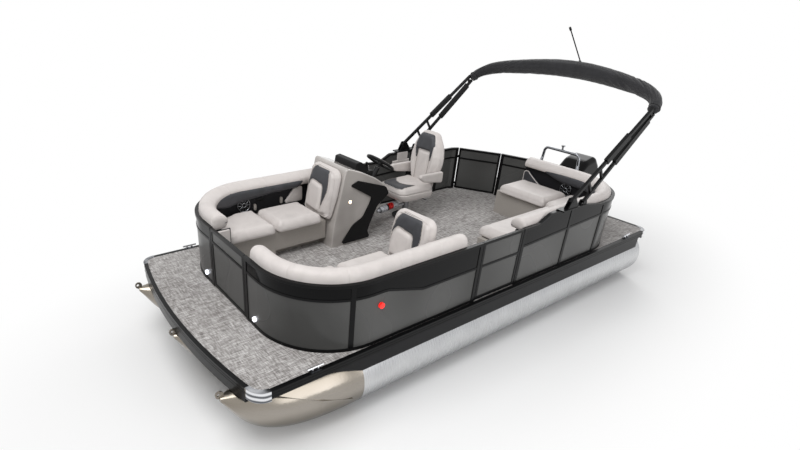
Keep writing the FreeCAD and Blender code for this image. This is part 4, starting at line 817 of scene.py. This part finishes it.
backs_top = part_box("backrests_bow")[1].z
edge_gap = 0.004
wide = 0.545
for side, name, inner, head_drop in ((1, "port", 0.4865, 0.069), (-1, "starboard", -0.452, 0.004)):
    tall = (backs_top - head_drop - board_foot) / math.cos(lean_angle) - 0.006
    place = leaned_place(knee_x - (board_foot - knee_height) * lean + edge_gap, inner,
                         board_foot + edge_gap, lean_angle)
    frame_outline = [(0.045, 0), (wide - 0.02, 0), (wide - 0.004, tall * 0.55), (wide - 0.035, tall),
                     (0.01, tall * 0.985), (0.004, tall * 0.5)]
    frame_outline = [(side * u, v) for u, v in frame_outline]
    backrest = pad("backrest_" + name, frame_outline, [0.05, 0.05, 0.3, 0.09, 0.10, 0.3], 0.080, place,
                   light_vinyl, "hull and deck", ["backrests_bow"], rim=0.036, cap=0.012, voxel=0.012)
    tree = surface_of(backrest)
    start = 0.0 if side > 0 else -wide

    def spread(shares):
        """Points from shares of the back's width, from starboard to port, and of its height."""
        return [(start + wide * a, tall * h) for a, h in shares]

    dark = spread([(0.24, 0.955), (0.735, 0.94), (0.80, 0.56), (0.655, 0.15), (0.635, 0.42), (0.605, 0.615),
                   (0.20, 0.655), (0.125, 0.50), (0.055, 0.28), (0.075, 0.52), (0.13, 0.76)])
    bends = [0.06, 0.05, 0.15, 0.002, 0.15, 0.045, 0.05, 0.1, 0.002, 0.2, 0.2]
    panel("backrest_panel_" + name, tree, place, dark, charcoal_vinyl, "hull and deck", 0.004, radii=bends)
    seam("backrest_seam_" + name, tree, place, dark, seam_thread, "hull and deck", 0.0018, 0.001, bends, True)
    lumbar = spread([(0.10, 0.10), (0.64, 0.07), (0.615, 0.42), (0.585, 0.595), (0.215, 0.635),
                     (0.145, 0.49)])
    panel("backrest_lumbar_" + name, tree, place, lumbar, light_vinyl, "hull and deck", 0.018, edge=0.035,
          radii=[0.04, 0.04, 0.15, 0.045, 0.05, 0.1])
    wing = spread([(0.70, 0.09), (0.90, 0.11), (0.955, 0.52), (0.90, 0.90), (0.775, 0.93), (0.835, 0.56)])
    panel("backrest_wing_" + name, tree, place, wing, light_vinyl, "hull and deck", 0.014, edge=0.03,
          radii=[0.02, 0.04, 0.15, 0.06, 0.02, 0.15])
    piping = [(0.05, 0.03), (wide - 0.045, 0.03), (wide - 0.035, tall * 0.55), (wide - 0.065, tall - 0.035),
              (0.045, tall * 0.985 - 0.035), (0.036, tall * 0.5)]
    piping = [(side * u, v) for u, v in piping]
    seam("backrest_piping_" + name, tree, place, piping, light_vinyl, "hull and deck", 0.0045, 0.001,
         [0.05, 0.05, 0.3, 0.08, 0.09, 0.3], True)

# Helm chair: a bucket of foam on a moulded shell. The shell is wrapped in light vinyl and tapers to the
# swivel plate; the seat has a charcoal front that runs back in two points, and the back a padded charcoal
# headrest.
post_low, post_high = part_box("chair_pedestal")
chair_spot = (post_low + post_high) / 2
chair_x, chair_y = chair_spot.x - mid, chair_spot.y
chair_z = post_high.z


def shell(name, rings, material, body):
    """A closed form through rings of points, each with as many points."""
    points = [p for ring in rings for p in ring]
    return make_piece(name, points, loft_faces(len(rings), len(rings[0])), material, body)


def block(name, low, high, bevel, material, body, place=None):
    """A block with rounded edges."""
    made = bmesh.new()
    bmesh.ops.create_cube(made, size=1.0)
    for v in made.verts:
        v.co = Vector([start + (stop - start) * (c + 0.5) for start, stop, c in zip(low, high, v.co)])
    bmesh.ops.bevel(made, geom=list(made.edges), offset=bevel, segments=3, profile=0.6, affect="EDGES")
    points = [place @ v.co if place else v.co.copy() for v in made.verts]
    faces = [tuple(v.index for v in f.verts) for f in made.faces]
    made.free()
    return make_piece(name, points, faces, material, body)


seat_back, seat_front, seat_half = -0.258, 0.306, 0.252
seat_plan = [(seat_back, -seat_half), (seat_front, -0.235), (seat_front, 0.235), (seat_back, seat_half)]
plan_ring = round_corners(seat_plan, [0.06, 0.10, 0.10, 0.06], 0.02, True)
rings = []
for z, front_pull, side_pull in ((-0.016, 0.060, 0.040), (-0.004, 0.040, 0.020), (0.030, 0.020, 0.006),
                                 (0.070, 0.004, 0.0), (0.082, 0.002, 0.002)):
    rings.append([(chair_x + p.x - front_pull * max(0.0, p.x / seat_front)
                   + 0.3 * side_pull * max(0.0, p.x / seat_back),
                   chair_y + p.y * (1 - side_pull / seat_half), chair_z + z) for p in plan_ring])
base_shell = shell("chair_shell", rings, light_vinyl, "helm chair")
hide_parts("helm_chair")
seat_place = Matrix.Translation((chair_x, chair_y, chair_z + 0.079))
chair_seat = pad("chair_seat", [(x + 0.006, y) for x, y in seat_plan], [0.07, 0.10, 0.10, 0.07], 0.082,
                 seat_place, light_vinyl, "helm chair", ["helm_chair"], rim=0.036, cap=0.010, voxel=0.012)
tree = surface_of(chair_seat)
front = [(0.292, -0.185), (0.292, 0.185), (0.03, 0.178), (0.11, 0.095), (0.14, 0.0), (0.11, -0.095),
         (0.03, -0.178)]
front_bends = [0.07, 0.07, 0.004, 0.06, 0.05, 0.06, 0.004]
panel("chair_seat_front", tree, seat_place, front, charcoal_vinyl, "helm chair", 0.004, radii=front_bends)
seam("chair_seat_seam", tree, seat_place, front, seam_thread, "helm chair", 0.002, 0.001, front_bends, True)
middle = [(0.095, -0.080), (0.125, 0.0), (0.095, 0.080), (-0.19, 0.115), (-0.19, -0.115)]
panel("chair_seat_middle", tree, seat_place, middle, light_vinyl, "helm chair", 0.012, edge=0.03,
      radii=[0.04, 0.06, 0.04, 0.03, 0.03])

rest_lean = math.atan(0.080 / 0.720)
rest_place = leaned_place(chair_x - 0.305, chair_y, chair_z + 0.066, rest_lean)
half = [(0.165, 0.0), (0.230, 0.175), (0.266, 0.325), (0.266, 0.415), (0.238, 0.545), (0.128, 0.712)]
rest_outline = half + [(-u, v) for u, v in half[::-1]]
rest_bends = [0.06, 0.2, 0.2, 0.2, 0.25, 0.08, 0.08, 0.25, 0.2, 0.2, 0.2, 0.06]
chair_rest = pad("chair_rest", rest_outline, rest_bends, 0.104, rest_place, light_vinyl, "helm chair",
                 ["helm_chair"], rim=0.046, cap=0.012, voxel=0.012)
tree = surface_of(chair_rest)
for side, name in ((1, "port"), (-1, "starboard")):
    wing = [(0.118, 0.06), (0.172, 0.09), (0.226, 0.32), (0.224, 0.42), (0.190, 0.53), (0.142, 0.56),
            (0.125, 0.36)]
    wing = [(side * u, v) for u, v in wing]
    panel("chair_wing_" + name, tree, rest_place, wing, light_vinyl, "helm chair", 0.030, edge=0.050,
          radii=[0.02, 0.03, 0.10, 0.06, 0.04, 0.01, 0.06])
head_panel = [(0.104, 0.475), (0.112, 0.30), (0.150, 0.46), (0.160, 0.56), (0.112, 0.685), (-0.112, 0.685),
              (-0.160, 0.56), (-0.150, 0.46), (-0.112, 0.30), (-0.104, 0.475)]
panel("chair_headrest", tree, rest_place, head_panel, charcoal_vinyl, "helm chair", 0.024, edge=0.020,
      radii=[0.01, 0.002, 0.1, 0.08, 0.05, 0.05, 0.08, 0.1, 0.002, 0.01])
lower = [(-0.082, 0.045), (0.082, 0.045), (0.098, 0.462), (-0.098, 0.462)]
panel("chair_lumbar", tree, rest_place, lower, light_vinyl, "helm chair", 0.018, edge=0.03, radii=0.03)
for side, name in ((1, "port"), (-1, "starboard")):
    edge = [(side * 0.094, 0.02), (side * 0.110, 0.29), (side * 0.102, 0.47)]
    seam("chair_rest_seam_" + name, tree, rest_place, edge, seam_thread, "helm chair", 0.0030, 0.001)
# Painted shadow: a near-black tube along the headrest's lower step stands in for the shadow line under it.
step = [(-0.108, 0.492), (0.108, 0.492)]
seam("chair_head_step_shadow_line", tree, rest_place, step, step_shadow_black, "helm chair", 0.0040, 0.022)

arm_plan = [(-0.330, 0.180), (0.0, 0.231), (0.094, 0.299), (0.055, 0.338), (-0.330, 0.330)]
for side, name in ((1, "port"), (-1, "starboard")):
    side_place = Matrix(((1, 0, 0, chair_x), (0, 0, -1, chair_y + side * 0.270 + 0.028), (0, 1, 0, chair_z),
                         (0, 0, 0, 1)))
    pad("chair_arm_" + name, arm_plan, [0.024, 0.10, 0.020, 0.024, 0.03], 0.056, side_place, light_vinyl,
        "helm chair", ["helm_chair"], rim=0.025, cap=0.003, voxel=0.009)
    y = chair_y + side * 0.258
    block("chair_arm_bracket_" + name, (chair_x - 0.245, y - 0.008, chair_z + 0.07),
          (chair_x - 0.205, y + 0.008, chair_z + 0.22), 0.004, powder_coat, "helm chair")
block("chair_swivel_plate", (chair_x - 0.12, chair_y - 0.11, chair_z - 0.030),
      (chair_x + 0.12, chair_y + 0.11, chair_z - 0.010), 0.006, powder_coat, "helm chair")
lever = [(chair_x - 0.10, chair_y + 0.10, chair_z - 0.022),
         (chair_x - 0.10, chair_y + 0.245, chair_z - 0.022),
         (chair_x - 0.115, chair_y + 0.272, chair_z - 0.020)]
tube("chair_lever", lever, 0.006, polished_metal, "helm chair")

# Lounge linings: behind the bow seats, light vinyl pads close the coamings beside the backrests, and a
# light end pad is screwed on under each bolster's end at the aisle. Round speaker grilles, pale moulded
# handles and a black stowage slot sit between.
lining_y = fence_side - 0.132


def bearings(count):
    """Angles that share out a full turn."""
    return [2 * math.pi * k / count for k in range(count)]


def side_pad(name, outline, y, side, thick, material, bevel=0.008):
    """A flat pad on an upright wall along the boat, from its outline in the wall's plane."""
    ring = counter_clockwise(round_corners(outline, 0.02, 0.02, True))
    rings = []
    for depth, inset in ((0.0, 0.0), (thick - bevel, 0.0), (thick - bevel * 0.3, bevel * 0.35),
                         (thick, bevel)):
        rings.append([(p.x, side * (y - depth), p.y) for p in offset_ring(ring, inset)])
    return shell(name, rings, material, "hull and deck")


def speaker(name, centre, out, up, size):
    """A round grille: a dished cone behind a ring and ten spokes."""
    out, up = Vector(out).normalized(), Vector(up).normalized()
    across = up.cross(out)

    def ringed(radius, lift, count=32):
        """Points round the speaker's axis."""
        return [centre + (across * math.cos(t) + up * math.sin(t)) * radius + out * lift
                for t in bearings(count)]

    dish = [ringed(size * r, lift)
            for r, lift in ((1.02, -0.004), (1.02, 0.004), (0.92, 0.005), (0.40, 0.002), (0.12, 0.006))]
    shell(name + "_cone", dish, black_abs, "hull and deck")
    tube(name + "_ring", ringed(size * 0.97, 0.007), 0.006, drawn_steel, "hull and deck", True)
    tube(name + "_inner_ring", ringed(size * 0.30, 0.010, 20), 0.0045, drawn_steel, "hull and deck", True)
    for k, t in enumerate(bearings(10)):
        ray = across * math.cos(t) + up * math.sin(t)
        spoke = [centre + ray * size * r + out * lift
                 for r, lift in ((0.30, 0.010), (0.65, 0.012), (0.95, 0.008))]
        tube(f"{name}_spoke_{k}", spoke, 0.0034, drawn_steel)


for side, name in ((1, "port"), (-1, "starboard")):
    outline = [(0.962, 1.072), (1.226, 1.072), (1.085, 1.236), (0.962, 1.254)]
    side_pad("lining_pad_" + name, outline, lining_y, side, 0.022, light_vinyl)
    speaker("speaker_bow_" + name, Vector((1.735, side * (lining_y - 0.005), 1.150)), (0, -side, 0),
            (0, 0, 1), 0.078)
    for k, (x, z) in enumerate(((1.255, 1.125), (1.600, 1.105))):
        handle = [(x + a * 0.016, z + b * 0.040) for a, b in ((-1, -1), (1, -1), (1, 1), (-1, 1))]
        side_pad(f"lining_handle_{name}_{k}", handle, lining_y, side, 0.030, moulded_light, 0.006)
    slot = [(1.475, 1.160), (1.570, 1.160), (1.570, 1.195), (1.475, 1.195)]
    side_pad("lining_slot_" + name, slot, lining_y, side, 0.007, black_abs, 0.002)
    aisle_low, aisle_high = sorted((side * 0.340, side * 0.362))
    end_cover = block("coaming_end_pad_" + name, (2.262, aisle_low, 1.050), (2.424, aisle_high, 1.268), 0.010,
                      light_vinyl, "hull and deck")
stern_wall = fence_stern + 0.132
speaker("speaker_stern", Vector((stern_wall + 0.006, 0.438, 1.118)), (1, 0, 0), (0, 0, 1), 0.082)

end_pad = [(-0.212, 1.060), (0.090, 1.060), (0.010, 1.105), (-0.080, 1.165), (-0.150, 1.222), (-0.212, 1.205)]
ring = round_corners(end_pad, [0.02, 0.02, 0.1, 0.1, 0.03, 0.03], 0.02, True)
rings = []
for depth, inset in ((0.0, 0.0), (0.020, 0.0), (0.028, 0.006), (0.030, 0.014)):
    rings.append([(stern_wall + depth, p.x, p.y) for p in offset_ring(ring, inset)])
shell("stern_end_pad", rings, charcoal_vinyl, "hull and deck")
piping = round_corners([(-0.205, 1.075), (-0.206, 1.203), (-0.150, 1.216), (-0.078, 1.160), (0.010, 1.100),
                        (0.070, 1.066)], 0.03, 0.015)
tube("stern_end_piping", [(stern_wall + 0.027, p.x, p.y) for p in piping], 0.006, light_vinyl)

# Helm fittings: three gauges with chrome bezels pressed into the dash, brushed spokes on the wheel, a
# throttle box screwed beside it, and a lit courtesy lamp on the console's inboard face. The chrome gives
# hard, bright rings.
console_high = 0.916
console_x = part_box("console")[1].x - mid
console_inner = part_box("console_side_panel")[0].y - 0.0003
wheel_lean = math.radians(34)
wheel_up = Vector((-math.sin(wheel_lean), 0, math.cos(wheel_lean)))
wheel_ahead = Vector((math.cos(wheel_lean), 0, math.sin(wheel_lean)))
wheel_spot = Vector((0.02799, -0.790, 1.47985))
bezel, tree, shader, place = new_material("chrome_bezel", "d4d6da", 0.08, 1.0)
texture(tree, shader, place, 80.0, 0.001, (0.04, 0.14))
dial, tree, shader, place = new_material("dial_face", "0b0c10", 0.3)
ticks = add(tree, "ShaderNodeTexWave", {"Vector": place, "Scale": 60.0, "Distortion": 2.0})
blotched(tree, shader, ticks.outputs["Fac"], "08090c", "2c3440", 0.7, 0.95)
brushed_spoke, tree, shader, place = new_material("brushed_spoke", "a9abb0", 0.24, 1.0)
source = texture(tree, shader, place, 120.0, 0.001, (0.16, 0.34), (1, 8, 1))
blotched(tree, shader, source, "8b8d92", "bfc1c5")


def dash_point(share, y, lift):
    """A point over the dash's slope, by its share of the way down."""
    top = Vector((console_x - 0.408 * console_high, 0, deck_top + 0.925 * console_high))
    foot = Vector((console_x - 0.655 * console_high, 0, deck_top + 0.808 * console_high))
    run = foot - top
    normal = Vector((run.z, 0, -run.x)).normalized()
    if normal.z < 0:
        normal = -normal
    spot = top + run * share + normal * lift
    return Vector((spot.x, y, spot.z)), run.normalized(), normal


below = wheel_spot - wheel_up * 0.066
tube("column_cover", [below - wheel_up * 0.150, below - wheel_up * 0.06, below], 0.0335, black_abs)
for k, (y, size) in enumerate(((-0.655, 0.036), (-0.790, 0.048), (-0.925, 0.036))):
    spot, down, normal = dash_point(0.62, y, 0.004)
    across = Vector((0, 1, 0))
    ring = [spot + (across * math.cos(t) + down * math.sin(t)) * size for t in bearings(28)]
    tube(f"gauge_bezel_{k}", ring, 0.006, bezel, "hull and deck", True)
    rings = [[tuple(spot + (across * math.cos(t) + down * math.sin(t)) * size * r + normal * lift)
              for t in bearings(24)]
             for r, lift in ((0.98, -0.004), (0.98, 0.003), (0.80, 0.001), (0.10, 0.001))]
    shell(f"gauge_dial_{k}", rings, dial, "hull and deck")
wheel_axes = Matrix((wheel_ahead, Vector((0, 1, 0)), wheel_up)).transposed().to_4x4()
wheel_place = Matrix.Translation(wheel_spot) @ wheel_axes
for k in range(3):
    turned = wheel_place @ Matrix.Rotation(math.radians(90 + 120 * k), 4, "Z")
    block(f"wheel_spoke_{k}", (0.030, -0.0095, 0.0025), (0.152, 0.0095, 0.0065), 0.0015, brushed_spoke,
          "steering wheel", turned)
rings = [[tuple(wheel_place @ Vector((r * math.cos(t), r * math.sin(t), z))) for t in bearings(28)]
         for r, z in ((0.0335, 0.0155), (0.0335, 0.0180), (0.029, 0.0205), (0.012, 0.0215))]
shell("wheel_hub_cap", rings, black_abs, "steering wheel")
grip = [wheel_place @ Vector((0.172 * math.cos(t), 0.172 * math.sin(t), 0.0168)) for t in bearings(60)]
tube("wheel_rim_seam", grip, 0.0016, seam_thread, "steering wheel", True)

spot, down, normal = dash_point(0.80, -0.520, 0.0)
block("throttle_box", (spot.x - 0.045, -0.548, spot.z - 0.010), (spot.x + 0.045, -0.492, spot.z + 0.055),
      0.010, black_abs, "hull and deck")
lever = [(spot.x, -0.520, spot.z + 0.050), (spot.x + 0.012, -0.520, spot.z + 0.105),
         (spot.x + 0.020, -0.520, spot.z + 0.135)]
tube("throttle_lever", lever, 0.008, bezel)
knob = [(spot.x + 0.020, -0.548, spot.z + 0.137), (spot.x + 0.020, -0.492, spot.z + 0.137)]
tube("throttle_grip", knob, 0.013, black_abs)

lamp_lit, tree, shader, place = new_material("lit_courtesy_lens", "fff1dd", 0.3)
spots = add(tree, "ShaderNodeTexVoronoi", {"Vector": place, "Scale": 160.0})
glow = add(tree, "ShaderNodeMapRange", {"Value": spots.outputs["Distance"], "To Min": 7.0, "To Max": 3.0})
tree.links.new(glow.outputs[0], shader.inputs["Emission Strength"])
shader.inputs["Emission Color"].default_value = paint("ffdcae")
lamp_spot = Vector((0.753, console_inner, 1.224))
rings = [[(lamp_spot.x + r * math.cos(t), lamp_spot.y + lift, lamp_spot.z + r * math.sin(t))
          for t in bearings(24)]
         for r, lift in ((0.020, 0.000), (0.020, 0.003), (0.014, 0.005), (0.004, 0.006))]
shell("courtesy_lens", rings, lamp_lit, "hull and deck")
bezel_ring = [(lamp_spot.x + 0.022 * math.cos(t), lamp_spot.y + 0.002, lamp_spot.z + 0.022 * math.sin(t))
              for t in bearings(24)]
tube("courtesy_bezel", bezel_ring, 0.003, bezel, "hull and deck", True)

# Extinguisher: a drawn steel bottle lying in a bracket by the helm chair. Its enamel is silver with a red
# band, and a black rubber strap holds it; handling has scuffed the gloss.
bottle, tree, shader, place = new_material("extinguisher_enamel", "c9cacd", 0.25, 0.6)
axes = add(tree, "ShaderNodeSeparateXYZ", {"Vector": place})
bottle_foot, bottle_head = chair_x + mid + 0.165, chair_x + mid + 0.440
along_bottle = add(tree, "ShaderNodeMapRange",
                   {"Value": axes.outputs["X"], "From Min": bottle_foot, "From Max": bottle_head})
bands = add(tree, "ShaderNodeValToRGB", {"Fac": along_bottle.outputs[0]})
bands.color_ramp.interpolation = "CONSTANT"
bands.color_ramp.elements[0].color = paint("b9bbc0")
bands.color_ramp.elements[1].position = 0.28
bands.color_ramp.elements[1].color = paint("c32622")
for at_share, hexa in ((0.55, "18181a"), (0.63, "b9bbc0")):
    bands.color_ramp.elements.new(at_share).color = paint(hexa)
tree.links.new(bands.outputs[0], shader.inputs["Base Color"])
scuffs = add(tree, "ShaderNodeTexNoise", {"Vector": place, "Scale": 40.0, "Detail": 4.0})
rough = add(tree, "ShaderNodeMapRange", {"Value": scuffs.outputs[0], "To Min": 0.16, "To Max": 0.40})
tree.links.new(rough.outputs[0], shader.inputs["Roughness"])
dress(bottle, "extinguisher")
dress(light_vinyl, "helm_side_pad")

# Canopy boot: the folded canopy rolled round its bows inside a sleeve of black acrylic canvas, zipped along
# the back. The roll is fullest over the middle and thins to the arms, and near each end the sleeve pulls in
# long slanting folds. A webbing strap closes each end.
canvas, tree, shader, place = new_material("black_acrylic_canvas", "1d1d1f", 0.86, Sheen_Weight=0.35,
                                           Specular_IOR_Level=0.25)
yarn = 0.004          # the yarn is 0.6 mm wide and is drawn 4 mm wide to show
weave_one = add(tree, "ShaderNodeTexWave", {"Vector": place, "Scale": 0.5 / yarn, "Distortion": 0.4},
                bands_direction="Y")
weave_two = add(tree, "ShaderNodeTexWave", {"Vector": place, "Scale": 0.5 / yarn, "Distortion": 0.4},
                bands_direction="Z")
cloth_height = add(tree, "ShaderNodeMath", {0: weave_one.outputs["Fac"], 1: weave_two.outputs["Fac"]},
                   operation="ADD")
bump = add(tree, "ShaderNodeBump", {"Height": cloth_height.outputs[0], "Strength": 0.25, "Distance": 0.002})
tree.links.new(bump.outputs[0], shader.inputs["Normal"])
fading = add(tree, "ShaderNodeTexNoise", {"Vector": place, "Scale": 6.0, "Detail": 3.0})
blotched(tree, shader, fading.outputs[0], "1a1a1c", "2f2f32", 0.0, 1.0)

hinge_x, hinge_z = -0.2719 * deck_end, deck_top + 0.790
rake = math.radians(35.1)
square_up = Vector((math.sin(rake), 0, math.cos(rake)))
boot_lift = -0.040


def canopy_point(s, y, lift=0.0):
    """Point at a distance along the arms, across the boat and square to the arms."""
    x = hinge_x - s * math.cos(rake) + lift * math.sin(rake)
    z = hinge_z + s * math.sin(rake) + lift * math.cos(rake)
    return Vector((x, y, z))


def smooth_run(points, step):
    """An open Catmull-Rom curve through the points."""
    points = [Vector(p) for p in points]
    points = [points[0] * 2 - points[1]] + points + [points[-1] * 2 - points[-2]]
    run = []
    for p in zip(points, points[1:], points[2:], points[3:]):
        parts = max(2, int((p[2] - p[1]).length / step))
        run += [between(p, k / parts) for k in range(parts)]
    return run + [points[-2]]


boot_half = [(1.4525, 1.262, 0.058), (1.530, 1.250, 0.060), (1.610, 1.205, 0.066), (1.690, 1.105, 0.074),
             (1.760, 0.945, 0.081), (1.818, 0.700, 0.089), (1.866, 0.430, 0.096), (1.895, 0.150, 0.101)]
boot_stations = boot_half + [(s, -y, r) for s, y, r in reversed(boot_half)]
boot_run = smooth_run(boot_stations, 0.011)


def roll_round(name, run, girth, around, material, body):
    """A rolled sleeve along a run of (distance up the arms, across, radius)."""
    line = [canopy_point(p.x, p.y, boot_lift) for p in run]
    rings = []
    for i, (p, spot) in enumerate(zip(run, line)):
        ahead = (line[min(i + 1, len(line) - 1)] - line[max(i - 1, 0)]).normalized()
        out = ahead.cross(square_up).normalized()
        ring = []
        for turn in bearings(around):
            reach = girth(p, i / (len(run) - 1), turn)
            ring.append(tuple(spot + (square_up * math.cos(turn) + out * math.sin(turn)) * reach))
        rings.append(ring)
    return shell(name, rings, material, body)


def boot_girth(p, share, turn):
    """Radius of the boot: folds lie along it in the middle and slant across it near its ends."""
    near = min(share, 1 - share) * 2
    tip = math.sqrt(max(0.0, 1 - (1 - min(1.0, near / 0.014)) ** 2)) * 0.5 + 0.5
    slant = abs(p.y) * 5.0
    long_fold = noise.noise(Vector((2.6 * math.cos(turn), 2.6 * math.sin(turn), p.y * 1.1)))
    slanting = noise.noise(Vector((2.2 * math.cos(turn + slant), 2.2 * math.sin(turn + slant),
                                   p.y * 3.0 + 4)))
    gather = noise.noise(Vector((1.2 * math.cos(turn), 1.2 * math.sin(turn), p.y * 14.0 + 7)))
    pulled = max(0.0, min(1.0, (abs(p.y) - 0.35) / 0.5))
    crease = -abs(slanting) * 0.16 * pulled
    waist = 1 - 0.05 * max(0.0, 1 - abs(near - 0.045) / 0.02)
    return p.z * tip * waist * (1.01 + 0.055 * long_fold + 0.02 * gather + crease)


boot = roll_round("canopy_boot_sleeve", boot_run, boot_girth, 72, canvas, "canopy")
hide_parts("canopy_boot")


def boot_thread(turn, lift, first, last):
    """Points on the boot's skin along one turn of it."""
    count = len(boot_run)
    found = []
    for i in range(int(count * first), int(count * last), 2):
        p, q = boot_run[i], boot_run[i + 1]
        spot = canopy_point(p.x, p.y, boot_lift)
        ahead = (canopy_point(q.x, q.y, boot_lift) - spot).normalized()
        out = ahead.cross(square_up).normalized()
        reach = boot_girth(p, i / (count - 1), turn) + lift
        found.append(spot + (square_up * math.cos(turn) + out * math.sin(turn)) * reach)
    return found


zip_turn, flap_turn = 2.3, 2.15
zip_teeth, tree, shader, place = new_material("black_zip_teeth", "0c0c0d", 0.35)
source = texture(tree, shader, place, 320.0, 0.001, (0.25, 0.45), strength=0.5)
blotched(tree, shader, source, "08080a", "1a1a1c")
tube("boot_zip", boot_thread(zip_turn, 0.001, 0.03, 0.97), 0.0035, zip_teeth, "canopy")
tube("boot_zip_flap", boot_thread(flap_turn, 0.001, 0.03, 0.97), 0.0028, canvas, "canopy")
strap_radius = 0.0605
webbing, tree, shader, place = new_material("black_polyester_webbing", "131315", 0.8)
source = texture(tree, shader, place, 400.0, 0.001, (0.7, 0.9), strength=0.5)
blotched(tree, shader, source, "0f0f11", "1f1f21")
for side, name in ((1, "port"), (-1, "starboard")):
    spot = canopy_point(1.500, side * 1.258, boot_lift)
    ring = [spot + (square_up * math.cos(turn) + Vector((0, side, 0)) * math.sin(turn)) * strap_radius
            for turn in bearings(24)]
    tube("boot_end_strap_" + name, ring, 0.006, webbing, "canopy", True)
